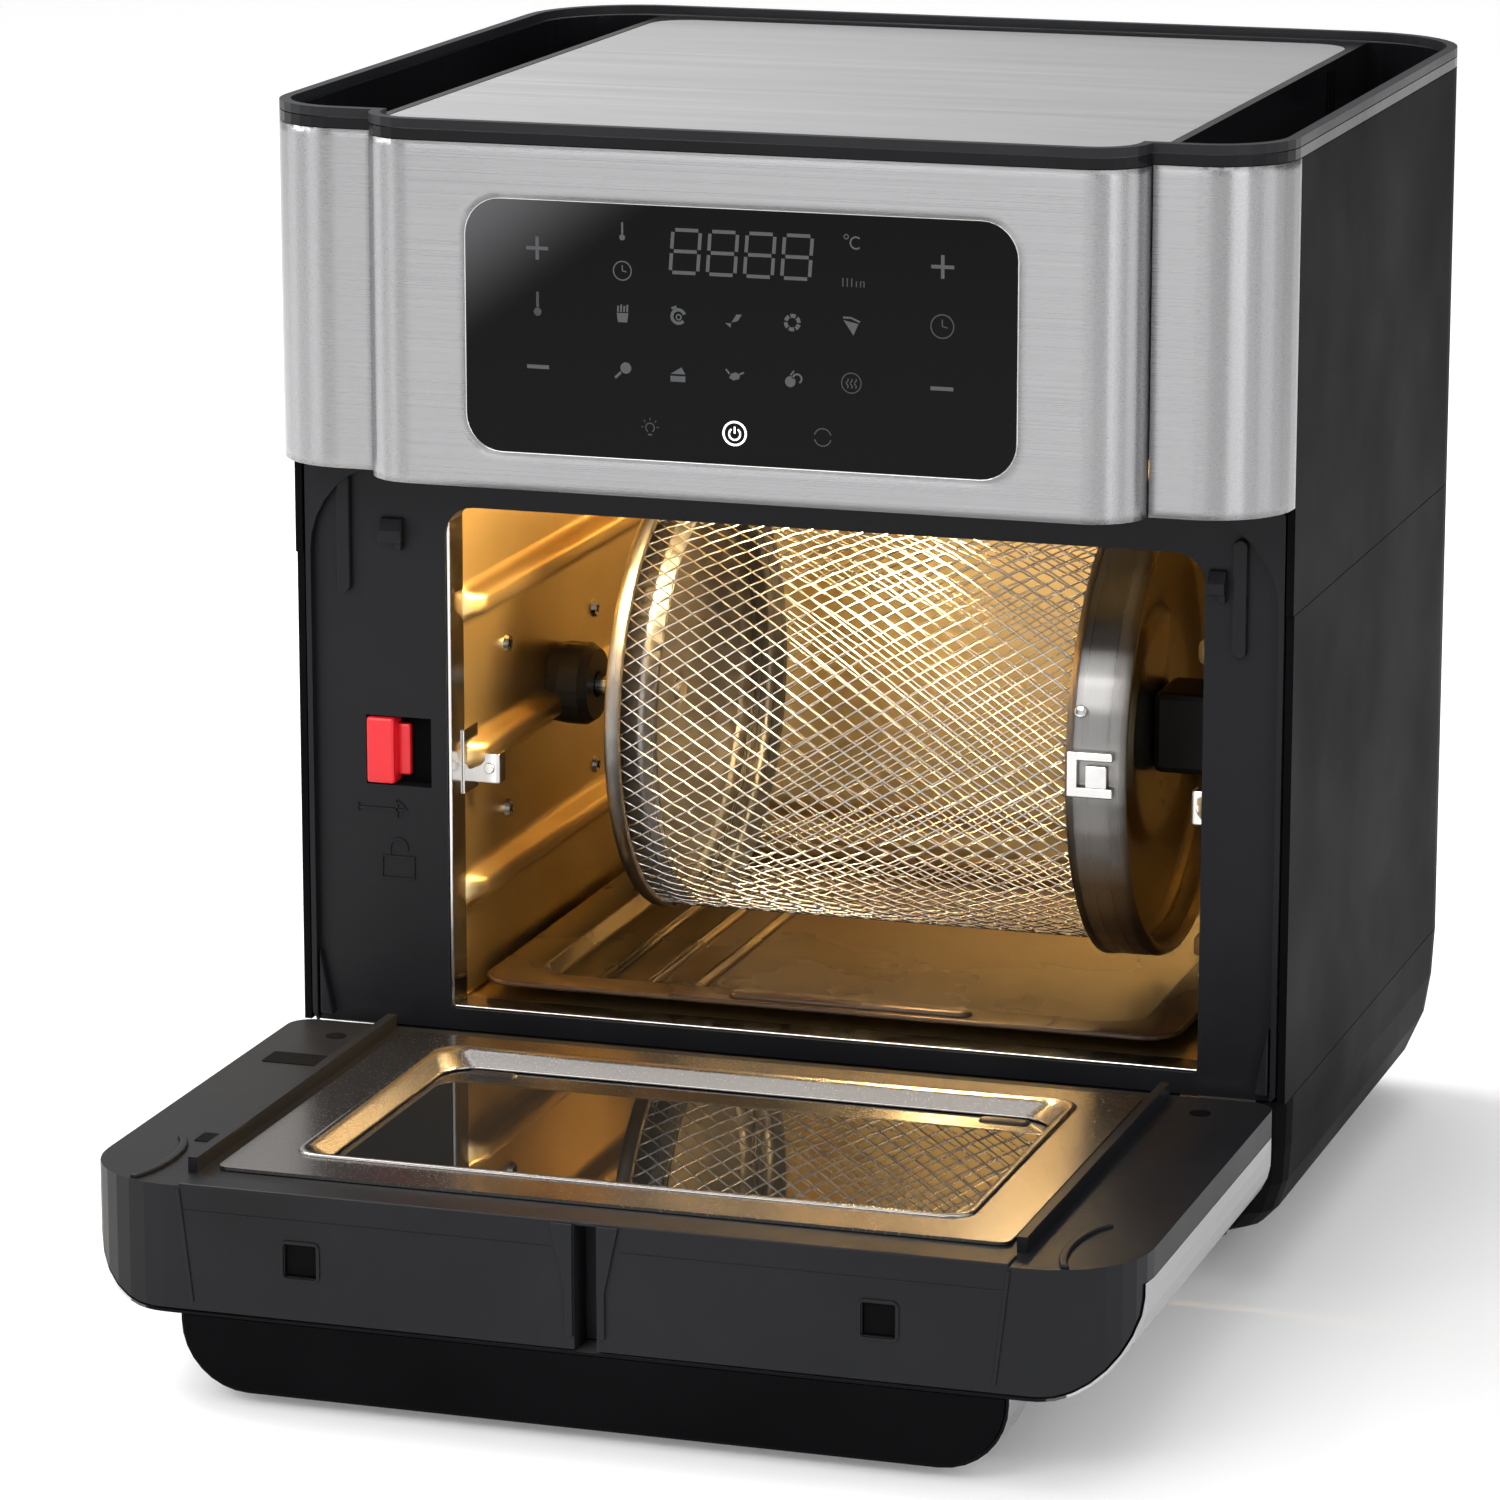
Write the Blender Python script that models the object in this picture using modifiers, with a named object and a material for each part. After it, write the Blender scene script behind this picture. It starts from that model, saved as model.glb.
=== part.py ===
"""Rotisserie oven with a drop-down door and a removable mesh drum. Metres, +Z up, front towards -Y."""

import math

import bmesh
import bpy
from mathutils import Matrix, Vector

# Overall body. The front of the control console is the plane Y = 0 and the floor is Z = 0.
HALF_W = 0.165
BACK_Y = 0.311
BACK_R = 0.040
RIM_TOP = 0.370
RIM_LOW = 0.3671
STEEL_TOP = 0.3633
STEEL_LOW = 0.2555
SIDE_SEAM = 0.2210
BASE_SEAM = 0.0642
WALL = 0.0024
GAP = 0.0003

# Control console and the two steel corner panels beside it.
CONSOLE_HALF = 0.1255
CONSOLE_R = 0.017
PANEL_Y = 0.017
PANEL_R = 0.026
SHEET = 0.0008
DISPLAY_HALF = 0.0890
DISPLAY_LOW = 0.2670
DISPLAY_TOP = 0.3468
DISPLAY_R = 0.012

# Cavity and front frame.
FRAME_HALF = 0.1622
FRAME_Y = 0.0495
FRAME_BACK = 0.0600
OPEN_LEFT = -0.1150
OPEN_RIGHT = 0.1360
OPEN_LOW = 0.0715
OPEN_TOP = 0.2385
CAVITY_BACK = 0.2780
CAVITY_LOW = 0.0713
CAVITY_TOP = 0.2650

# Drum axis, parallel to X.
DRUM_Y = 0.155
DRUM_Z = 0.1585
DRUM_R = 0.0720
DRUM_LEFT = -0.0730
DRUM_RIGHT = 0.1035

# Door, drawn closed and swung down about its hinge.
HINGE_Y = 0.041
HINGE_Z = 0.065
DOOR_HALF = 0.1645
DOOR_LOW = 0.0675
DOOR_TOP = 0.2520
DOOR_FACE = 0.0430
DOOR_FLANGE = 0.0345
DOOR_SKIN = 0.0030
DOOR_CORNER = 0.030
HANDLE_FRONT = -0.0205

# Shift in Y that puts the origin under the middle of the whole part with its door down.
CENTRE_Y = 0.08565

part = None
helpers = None


def clear_scene():
    for obj in list(bpy.data.objects):
        bpy.data.objects.remove(obj, do_unlink=True)
    bpy.context.scene.unit_settings.system = "METRIC"


def new_collection(name):
    collection = bpy.data.collections.new(name)
    bpy.context.scene.collection.children.link(collection)
    return collection


def material(name, colour, roughness, metallic=0.0, alpha=1.0):
    mat = bpy.data.materials.new(name)
    mat.use_nodes = True
    shader = mat.node_tree.nodes["Principled BSDF"]
    shader.inputs["Base Color"].default_value = (*colour, 1.0)
    shader.inputs["Roughness"].default_value = roughness
    shader.inputs["Metallic"].default_value = metallic
    shader.inputs["Alpha"].default_value = alpha
    return mat


def finish(obj, mat, parent=None, smooth=False):
    """Puts the object in the part's collection with its material and, for a moving piece, its pivot."""
    for collection in list(obj.users_collection):
        collection.objects.unlink(obj)
    part.objects.link(obj)
    obj.data.materials.clear()
    obj.data.materials.append(mat)
    if smooth:
        for face in obj.data.polygons:
            face.use_smooth = True
    if parent is not None:
        obj.parent = parent
    return obj


def cutter(obj):
    for collection in list(obj.users_collection):
        collection.objects.unlink(obj)
    helpers.objects.link(obj)
    obj.hide_render = True
    obj.display_type = "WIRE"
    return obj


def cut(obj, tool, operation="DIFFERENCE"):
    modifier = obj.modifiers.new(operation.title() + " " + tool.name, "BOOLEAN")
    modifier.operation = operation
    modifier.solver = "EXACT"
    modifier.object = tool
    return modifier


def from_curve(name, curve):
    """The curve's mesh as an object of its own, with the caps joined to the sides."""
    guide = bpy.data.objects.new(name + "_guide", curve)
    bpy.context.scene.collection.objects.link(guide)
    graph = bpy.context.evaluated_depsgraph_get()
    mesh = bpy.data.meshes.new_from_object(guide.evaluated_get(graph))
    bpy.data.objects.remove(guide, do_unlink=True)
    mesh.name = name
    body = bmesh.new()
    body.from_mesh(mesh)
    bmesh.ops.remove_doubles(body, verts=body.verts, dist=1e-6)
    bmesh.ops.recalc_face_normals(body, faces=body.faces)
    body.to_mesh(mesh)
    body.free()
    obj = bpy.data.objects.new(name, mesh)
    bpy.context.scene.collection.objects.link(obj)
    return obj


def outline_curve(name, loops, thickness):
    curve = bpy.data.curves.new(name, "CURVE")
    curve.dimensions = "2D"
    curve.fill_mode = "BOTH"
    curve.extrude = thickness / 2
    for loop in loops:
        loop = [p for i, p in enumerate(loop) if math.dist(p, loop[i - 1]) > 1e-6]
        spline = curve.splines.new("POLY")
        spline.points.add(len(loop) - 1)
        for point, (x, y) in zip(spline.points, loop):
            point.co = (x, y, 0.0, 1.0)
        spline.use_cyclic_u = True
    return curve


def flat_plate(name, loops, low, top):
    """A plate lying flat: loops of (x, y), from low to top in Z. Loops after the first are holes."""
    obj = from_curve(name, outline_curve(name, loops, top - low))
    obj.data.transform(Matrix.Translation((0, 0, (top + low) / 2)))
    return obj


def upright_plate(name, loops, front, back):
    """A plate standing up: loops of (x, z), from front to back in Y. Loops after the first are holes."""
    obj = from_curve(name, outline_curve(name, loops, back - front))
    turn = Matrix.Rotation(math.radians(90), 4, "X")
    obj.data.transform(Matrix.Translation((0, (front + back) / 2, 0)) @ turn)
    return obj


def arc(cx, cy, radius, start, end, steps=8):
    points = []
    for i in range(steps + 1):
        angle = math.radians(start + (end - start) * i / steps)
        points.append((cx + radius * math.cos(angle), cy + radius * math.sin(angle)))
    return points


def rounded(x0, y0, x1, y1, radii, steps=6):
    """A rectangle with corner radii given from the low left corner anticlockwise."""
    if not isinstance(radii, tuple):
        radii = (radii,) * 4
    points = []
    corners = ((x0, y0, 1, 1, 180), (x1, y0, -1, 1, 270), (x1, y1, -1, -1, 0), (x0, y1, 1, -1, 90))
    for (x, y, sx, sy, start), r in zip(corners, radii):
        if r <= 0:
            points.append((x, y))
        else:
            points += arc(x + sx * r, y + sy * r, r, start, start + 90, steps)
    return points


def mirrored(points):
    """The whole outline from its right half, which runs from the front middle to the back middle."""
    return points + [(-x, y) for x, y in reversed(points)]


def body_outline(inset):
    """Plan outline at the top: console in front, steel corners beside it, big round corners behind."""
    c = CONSOLE_HALF - inset
    r = CONSOLE_R - inset
    points = arc(c - r, inset + r, r, -90, 0, 6)
    points.append((c, PANEL_Y + inset))
    r = PANEL_R - inset
    x = HALF_W - inset
    points += arc(x - r, PANEL_Y + inset + r, r, -84, 0, 8)
    r = BACK_R - inset
    points += arc(x - r, BACK_Y - inset - r, r, 0, 90, 10)
    return mirrored(points)


def u_outline(front, inset, thickness):
    """A wall that runs back from the front on both sides and round the back."""
    outer = []
    inner = []
    for d, points in ((inset, outer), (inset + thickness, inner)):
        x = HALF_W - d
        r = BACK_R - d
        points.append((x, front))
        points += arc(x - r, BACK_Y - d - r, r, 0, 90, 10)
    outer = mirrored(outer)
    inner = mirrored(inner)
    return outer + inner[::-1]


def loft(name, rings):
    """A closed body through rings of the same number of points, with the first and last ring filled."""
    body = bmesh.new()
    rows = [[body.verts.new(p) for p in ring] for ring in rings]
    count = len(rows[0])
    for low, high in zip(rows, rows[1:]):
        for i in range(count):
            body.faces.new((low[i], low[(i + 1) % count], high[(i + 1) % count], high[i]))
    body.faces.new(rows[0])
    body.faces.new(rows[-1])
    bmesh.ops.recalc_face_normals(body, faces=body.faces)
    mesh = bpy.data.meshes.new(name)
    body.to_mesh(mesh)
    body.free()
    obj = bpy.data.objects.new(name, mesh)
    bpy.context.scene.collection.objects.link(obj)
    return obj


def box(name, x0, x1, y0, y1, z0, z1, bevel=0.0):
    body = bmesh.new()
    bmesh.ops.create_cube(body, size=1.0)
    bmesh.ops.scale(body, vec=Vector((x1 - x0, y1 - y0, z1 - z0)), verts=body.verts)
    bmesh.ops.translate(body, vec=Vector(((x0 + x1) / 2, (y0 + y1) / 2, (z0 + z1) / 2)), verts=body.verts)
    mesh = bpy.data.meshes.new(name)
    body.to_mesh(mesh)
    body.free()
    obj = bpy.data.objects.new(name, mesh)
    bpy.context.scene.collection.objects.link(obj)
    if bevel:
        modifier = obj.modifiers.new("Soft edges", "BEVEL")
        modifier.width = bevel
        modifier.segments = 2
    return obj


def cylinder(name, radius, centre, length, axis="Z", segments=32, radius2=None):
    """A round bar centred on the point, lying along the axis."""
    body = bmesh.new()
    bmesh.ops.create_cone(
        body,
        cap_ends=True,
        segments=segments,
        radius1=radius,
        radius2=radius if radius2 is None else radius2,
        depth=length,
    )
    turn = {"X": Matrix.Rotation(math.radians(90), 4, "Y"), "Y": Matrix.Rotation(math.radians(-90), 4, "X")}
    matrix = Matrix.Translation(centre) @ turn.get(axis, Matrix.Identity(4))
    bmesh.ops.transform(body, matrix=matrix, verts=body.verts)
    mesh = bpy.data.meshes.new(name)
    body.to_mesh(mesh)
    body.free()
    obj = bpy.data.objects.new(name, mesh)
    bpy.context.scene.collection.objects.link(obj)
    return obj


def turned(name, profile, steps=40):
    """A ring turned about X from a closed profile of (x, radius)."""
    mesh = bpy.data.meshes.new(name)
    count = len(profile)
    ends = profile[1:] + profile[:1]
    if sum(x0 * r1 - x1 * r0 for (x0, r0), (x1, r1) in zip(profile, ends)) < 0:
        profile = profile[::-1]
    points = [(x, 0.0, r) for x, r in profile]
    edges = [(i, (i + 1) % count) for i in range(count)]
    mesh.from_pydata(points, edges, [])
    obj = bpy.data.objects.new(name, mesh)
    bpy.context.scene.collection.objects.link(obj)
    modifier = obj.modifiers.new("Turn", "SCREW")
    modifier.axis = "X"
    modifier.angle = math.radians(360)
    modifier.steps = steps
    modifier.render_steps = steps
    modifier.use_merge_vertices = True
    modifier.merge_threshold = 0.00001
    return obj


def tube(name, points, radius, cyclic=False):
    curve = bpy.data.curves.new(name, "CURVE")
    curve.dimensions = "3D"
    curve.bevel_depth = radius
    curve.bevel_resolution = 2
    curve.use_fill_caps = True
    spline = curve.splines.new("POLY")
    spline.points.add(len(points) - 1)
    for point, co in zip(spline.points, points):
        point.co = (*co, 1.0)
    spline.use_cyclic_u = cyclic
    return from_curve(name, curve)


def pivot(name, location, turn_x=0.0):
    empty = bpy.data.objects.new(name, None)
    empty.location = location
    empty.rotation_euler = (math.radians(turn_x), 0, 0)
    part.objects.link(empty)
    return empty


def onto(obj, empty):
    """Moves the mesh so that the object's origin is the pivot's point, and parents it there."""
    obj.data.transform(Matrix.Translation(-empty.location))
    obj.parent = empty
    return obj


def make_top(mats):
    band = flat_plate("top_cover", [body_outline(0.0)], STEEL_TOP + GAP, 0.3668)
    inside = cutter(flat_plate("cover_inside", [body_outline(0.0028)], 0.3450, 0.3645))
    cut(band, inside, "UNION")
    for side, sign in (("left", -1), ("right", 1)):
        loop = [(sign * x, y) for x, y in valley_outline()]
        cut(band, cutter(flat_plate(f"valley_{side}", [loop], 0.3478, 0.3800)))
    recess = cutter(flat_plate("plate_cut", [plate_outline(0.0)], 0.3653, 0.3800))
    cut(band, recess)
    inside = rounded(-0.1220, 0.0200, 0.1220, 0.2960, 0.010)
    hollow = cutter(flat_plate("cover_hollow", [inside], 0.3300, 0.3625))
    cut(band, hollow)
    finish(band, mats["cover"])

    rim = flat_plate("top_rim", [body_outline(0.0), body_outline(0.0036)], RIM_LOW, RIM_TOP)
    bevel = rim.modifiers.new("Soft edges", "BEVEL")
    bevel.width = 0.0006
    bevel.segments = 2
    bevel.limit_method = "ANGLE"
    finish(rim, mats["rim"])

    plate = flat_plate("top_plate", [plate_outline(GAP)], 0.3655, 0.3667)
    finish(plate, mats["brushed"])


def plate_outline(gap):
    return rounded(-0.1245 + gap, 0.0048 + gap, 0.1245 - gap, 0.2980 - gap, (0.010, 0.010, 0.014, 0.014))


def valley_outline():
    """Right-hand trough between the raised middle and the rim. It is narrower towards the back."""
    points = [(0.1275, PANEL_Y + 0.0075)]
    points += arc(HALF_W - 0.0046 - 0.0180, PANEL_Y + 0.0075 + 0.0180, 0.0180, -90, 0, 6)
    points += arc(HALF_W - 0.0046 - 0.0330, BACK_Y - 0.0055 - 0.0330, 0.0330, 0, 80, 8)
    points.append((0.1275, BACK_Y - 0.0060))
    return points


def make_shells(mats):
    upper = flat_plate("upper_shell", [u_outline(0.0457, 0.0, WALL)], SIDE_SEAM + GAP, STEEL_TOP)
    finish(upper, mats["shell"])
    lower = flat_plate("lower_shell", [u_outline(0.0470, 0.0, WALL)], BASE_SEAM + GAP, SIDE_SEAM)
    finish(lower, mats["shell"])
    make_base(mats)
    for side, x in (("left", -0.122), ("right", 0.122)):
        for end, y in (("front", 0.110), ("rear", 0.268)):
            spot = (x, y, 0.0035)
            foot = cylinder(f"foot_{end}_{side}", 0.0100, spot, 0.0070, segments=24, radius2=0.0115)
            finish(foot, mats["rubber"])


def base_ring(z, side, front, back, radius):
    x = HALF_W - side
    points = arc(x - 0.012, front + 0.012, 0.012, -90, 0, 4)
    points += arc(x - radius, back - radius, radius, 0, 90, 10)
    return [(px, py, z) for px, py in mirrored(points)]


def make_base(mats):
    outer = (
        (0.0073, 0.032, 0.0890, 0.2790, 0.020),
        (0.0090, 0.024, 0.0820, 0.2870, 0.026),
        (0.0140, 0.015, 0.0730, 0.2960, 0.032),
        (0.0220, 0.008, 0.0640, 0.3030, 0.036),
        (0.0340, 0.003, 0.0550, 0.3080, 0.038),
        (0.0480, 0.0008, 0.0490, 0.3102, 0.040),
        (BASE_SEAM, 0.0, 0.0470, BACK_Y, 0.040),
    )
    rings = [base_ring(*row) for row in outer]
    for z, side, front, back, radius in reversed(outer):
        if z < 0.012:
            continue
        rings.append(base_ring(z, side + WALL, front + WALL, back - WALL, radius - 0.0015))
    rings.append(base_ring(0.0100, 0.028, 0.0880, 0.2830, 0.022))
    finish(loft("base_tub", rings), mats["shell"])


def make_console(mats):
    outer = body_outline(0.0)
    half = 7
    skin_out = [(-x, y) for x, y in reversed(outer[:half])] + outer[:half]
    skin_out = [(-CONSOLE_HALF, 0.0176)] + skin_out + [(CONSOLE_HALF, 0.0176)]
    inner = body_outline(SHEET)[:half]
    skin_in = [(-x, y) for x, y in reversed(inner)] + inner
    skin_in = [(-CONSOLE_HALF + SHEET, 0.0176)] + skin_in + [(CONSOLE_HALF - SHEET, 0.0176)]
    skin = flat_plate("console_skin", [skin_out + skin_in[::-1]], STEEL_LOW, STEEL_TOP)
    hole = rounded(-DISPLAY_HALF, DISPLAY_LOW, DISPLAY_HALF, DISPLAY_TOP, DISPLAY_R)
    window = cutter(upright_plate("display_cut", [hole], -0.01, 0.01))
    cut(skin, window)
    finish(skin, mats["brushed"])

    shape = rounded(
        -DISPLAY_HALF + GAP, DISPLAY_LOW + GAP, DISPLAY_HALF - GAP, DISPLAY_TOP - GAP, DISPLAY_R - GAP
    )
    finish(upright_plate("display_panel", [shape], 0.0003, 0.0025), mats["gloss"])
    board = upright_plate("control_board", [rounded(-0.095, 0.270, 0.095, 0.344, 0.002, 2)], 0.0090, 0.0106)
    finish(board, mats["board"])

    inset = SHEET + GAP
    points = body_outline(inset)[:16]
    points += [(HALF_W - inset, 0.0450), (FRAME_HALF - 0.0010, 0.0455), (FRAME_HALF - 0.0010, FRAME_BACK)]
    under = flat_plate("console_underside", [mirrored(points)], STEEL_LOW + 0.0005, STEEL_LOW + 0.0035)
    finish(under, mats["plastic"])

    tail = (HALF_W, 0.0450)
    start = (CONSOLE_HALF + GAP, PANEL_Y)
    out = [start] + arc(HALF_W - PANEL_R, PANEL_Y + PANEL_R, PANEL_R, -90, 0, 8) + [tail]
    back = [(start[0], PANEL_Y + SHEET)]
    back += arc(HALF_W - PANEL_R, PANEL_Y + PANEL_R, PANEL_R - SHEET, -90, 0, 8)
    back.append((HALF_W - SHEET, tail[1]))
    for side, sign in (("left", -1), ("right", 1)):
        loop = [(sign * x, y) for x, y in out + back[::-1]]
        panel = flat_plate(f"corner_panel_{side}", [loop], STEEL_LOW, STEEL_TOP)
        finish(panel, mats["brushed"])


def make_front_frame(mats):
    low, top = BASE_SEAM + GAP, STEEL_LOW - 0.0005
    shape = rounded(-FRAME_HALF, low, FRAME_HALF, top, 0.003)
    hole = rounded(OPEN_LEFT, OPEN_LOW, OPEN_RIGHT, OPEN_TOP, (0.002, 0.002, 0.010, 0.010))
    frame = upright_plate("front_frame", [shape, hole], FRAME_Y, FRAME_BACK)
    half = FRAME_HALF - 0.0020
    inside = rounded(-half, low - 0.01, half, top - 0.0030, (0.0, 0.0, 0.030, 0.030), 8)
    edge = rounded(-FRAME_HALF + GAP, low + GAP, FRAME_HALF - GAP, top - GAP, 0.003)
    lip = cutter(upright_plate("frame_lip", [edge], FRAME_Y - 0.0032, FRAME_Y + 0.0020))
    dish = cutter(upright_plate("frame_dish", [inside], FRAME_Y - 0.0100, FRAME_Y + 0.0100))
    cut(lip, dish)
    cut(frame, lip, "UNION")
    pocket = cutter(box("lever_pocket", -0.1430, -0.1205, FRAME_Y - 0.002, FRAME_Y + 0.0070, 0.1450, 0.1680))
    cut(frame, pocket)
    plunger_hole = cutter(cylinder("plunger_hole", 0.0030, (0.010, 0.055, 0.2492), 0.03, "Y", 16))
    cut(frame, plunger_hole)
    finish(frame, mats["plastic"])


def make_cavity(mats):
    body = bmesh.new()
    bmesh.ops.create_cube(body, size=1.0)
    size = Vector((OPEN_RIGHT - OPEN_LEFT + 0.0010, CAVITY_BACK - FRAME_BACK - GAP, CAVITY_TOP - CAVITY_LOW))
    middle = Vector(
        ((OPEN_RIGHT + OPEN_LEFT) / 2, (CAVITY_BACK + FRAME_BACK + GAP) / 2, (CAVITY_TOP + CAVITY_LOW) / 2)
    )
    bmesh.ops.scale(body, vec=size, verts=body.verts)
    bmesh.ops.translate(body, vec=middle, verts=body.verts)
    front = [f for f in body.faces if f.normal.y < -0.5]
    bmesh.ops.delete(body, geom=front, context="FACES")
    mesh = bpy.data.meshes.new("cavity_liner")
    body.to_mesh(mesh)
    body.free()
    liner = bpy.data.objects.new("cavity_liner", mesh)
    bpy.context.scene.collection.objects.link(liner)
    wall = liner.modifiers.new("Sheet", "SOLIDIFY")
    wall.thickness = 0.0010
    wall.offset = 1.0
    wall.use_even_offset = True
    cut(liner, cutter(cylinder("socket_hole", 0.0155, (OPEN_LEFT, DRUM_Y, DRUM_Z), 0.02, "X", 32)))
    cut(liner, cutter(cylinder("drive_hole", 0.0120, (OPEN_RIGHT, DRUM_Y, DRUM_Z), 0.02, "X", 32)))
    cut(liner, cutter(cylinder("fan_hole", 0.0640, (0.005, 0.165, CAVITY_TOP), 0.02, "Z", 40)))
    cut(liner, cutter(cylinder("lamp_hole", 0.0190, (OPEN_RIGHT, 0.240, 0.215), 0.02, "X", 32)))
    finish(liner, mats["cavity"])

    low = CAVITY_LOW + 0.0004
    left, right = OPEN_LEFT + 0.0020, OPEN_RIGHT - 0.0100
    front, back = 0.0630, 0.2740
    rows = (
        (low, 0.0200, 0.010),
        (low + 0.0050, 0.0150, 0.014),
        (low + 0.0050, 0.0015, 0.008),
        (low + 0.0060, 0.0015, 0.008),
        (low + 0.0060, 0.0162, 0.013),
        (low + 0.0012, 0.0208, 0.010),
    )
    rings = []
    for z, inset, radius in rows:
        loop = rounded(left + inset, front + inset, right - inset, back - inset, radius, 5)
        rings.append([(x, y, z) for x, y in loop])
    tray = loft("drip_tray", rings)
    slide = pivot("tray_pivot", Vector((0.005, 0.165, low)))
    finish(onto(tray, slide), mats["tray"])


def make_heat(mats):
    centre = Vector((0.005, 0.165, 0.0))
    points = []
    turns = 2.0
    count = 64
    for i in range(count + 1):
        angle = math.radians(90 + 360 * turns * i / count)
        radius = 0.050 + 0.030 * i / count
        points.append((centre.x + radius * math.cos(angle), centre.y + radius * math.sin(angle), 0.2580))
    finish(tube("heating_element", points, 0.0030), mats["element"], smooth=True)

    guard = flat_plate("heater_guard", [arc(centre.x, centre.y, 0.092, 0, 350, 35)], 0.2515, 0.2523)
    finish(guard, mats["wire"])

    blades = bmesh.new()
    bmesh.ops.create_cone(blades, cap_ends=True, segments=32, radius1=0.012, radius2=0.012, depth=0.010)
    mesh = bpy.data.meshes.new("fan_wheel")
    blades.to_mesh(mesh)
    blades.free()
    fan = bpy.data.objects.new("fan_wheel", mesh)
    bpy.context.scene.collection.objects.link(fan)
    spin = pivot("fan_pivot", Vector((0.005, 0.165, 0.2740)))
    fan.parent = spin
    disc = cutter(cylinder("fan_disc", 0.052, (0, 0, 0.0040), 0.0012, segments=40))
    disc.parent = spin
    cut(fan, disc, "UNION")
    for i in range(8):
        blade = cutter(box(f"fan_blade_{i}", 0.018, 0.0515, -0.0006, 0.0006, -0.0050, 0.0040))
        blade.data.transform(Matrix.Rotation(math.radians(45 * i + 3), 4, "Z"))
        blade.parent = spin
        cut(fan, blade, "UNION")
    finish(fan, mats["aluminium"])

    motor = cylinder("fan_motor", 0.024, (0.005, 0.165, 0.3010), 0.040, segments=32)
    finish(motor, mats["motor"], smooth=False)


def make_drum_drive(mats):
    motor = box("drum_motor", 0.1396, 0.1605, 0.125, 0.185, DRUM_Z - 0.030, DRUM_Z + 0.030, 0.002)
    finish(motor, mats["motor"])

    axis = Vector((0.0, DRUM_Y, DRUM_Z))
    socket = cylinder("drive_socket", 0.0112, (0.1310, 0, 0), 0.0165, "X", 32)
    spin = pivot("drum_pivot", axis)
    socket.parent = spin
    finish(socket, mats["socket"])

    r = DRUM_R
    low, high = DRUM_LEFT + 0.0055, DRUM_RIGHT - 0.0203
    mesh = turned("drum_mesh", [(low, r), (high, r), (high, r - 0.0008), (low, r - 0.0008)], 48)
    mesh.parent = spin
    finish(mesh, mats["wire"], smooth=False)

    near = DRUM_LEFT
    ring = [(near, 0.0042), (near, r), (near + 0.0015, r + 0.0012), (near + 0.0050, r + 0.0012)]
    ring += [(near + 0.0050, r + 0.0002), (near + 0.0023, r - 0.0005), (near + 0.0015, r - 0.0020)]
    ring += [(near + 0.0015, 0.0042)]
    left = turned("drum_end_left", ring, 48)
    left.parent = spin
    finish(left, mats["chrome"])
    pin = cylinder("drum_pin", 0.0038, (near - 0.0140, 0, 0), 0.0350, "X", 20)
    pin.parent = spin
    finish(pin, mats["chrome"])

    rim = r + 0.0042
    far = DRUM_RIGHT
    cap = [(far - 0.0195, rim), (far - 0.0020, rim), (far, rim - 0.0012), (far, rim - 0.0030)]
    cap += [(far - 0.0080, rim - 0.0062), (far - 0.0100, rim - 0.0087), (far - 0.0100, 0.0400)]
    cap += [(far - 0.0070, 0.0370), (far - 0.0070, 0.0040), (far - 0.0080, 0.0040), (far - 0.0080, 0.0365)]
    cap += [(far - 0.0110, 0.0396), (far - 0.0110, rim - 0.0082), (far - 0.0087, rim - 0.0054)]
    cap += [(far - 0.0010, rim - 0.0022), (far - 0.0010, rim - 0.0016), (far - 0.0025, rim - 0.0010)]
    cap += [(far - 0.0195, rim - 0.0010)]
    right = turned("drum_end_right", cap, 48)
    right.parent = spin
    finish(right, mats["chrome"])

    block = box("drum_drive_block", far - 0.0067, 0.1219, -0.0135, 0.0135, -0.0135, 0.0135, 0.0022)
    block.parent = spin
    finish(block, mats["socket"])
    clip = box("drum_clip", far - 0.0185, far - 0.0035, -rim - 0.0020, -rim - 0.0003, -0.0075, 0.0075)
    clip.parent = spin
    finish(clip, mats["chrome"])


def make_release(mats):
    socket_point = Vector((OPEN_LEFT, DRUM_Y, DRUM_Z))
    slide = pivot("socket_pivot", socket_point)
    profile = [(-0.0120, 0.0046), (-0.0120, 0.0115), (0.0050, 0.0140), (0.0120, 0.0140)]
    profile += [(0.0150, 0.0120), (0.0150, 0.0046)]
    socket = turned("spring_socket", profile, 32)
    socket.parent = slide
    finish(socket, mats["socket"])

    lever_point = Vector((-0.1380, FRAME_Y, 0.1565))
    hold = pivot("lever_pivot", lever_point)
    lever = box("release_lever", -0.1427, -0.1330, 0.0484, 0.0562, 0.1455, 0.1675, 0.0010)
    onto(lever, hold)
    finish(lever, mats["red"])

    plunger = cylinder("door_switch", 0.0026, (0.010, 0.0497, 0.2492), 0.0120, "Y", 16)
    push = pivot("switch_pivot", Vector((0.010, 0.0497, 0.2492)))
    onto(plunger, push)
    finish(plunger, mats["socket"])


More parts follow.
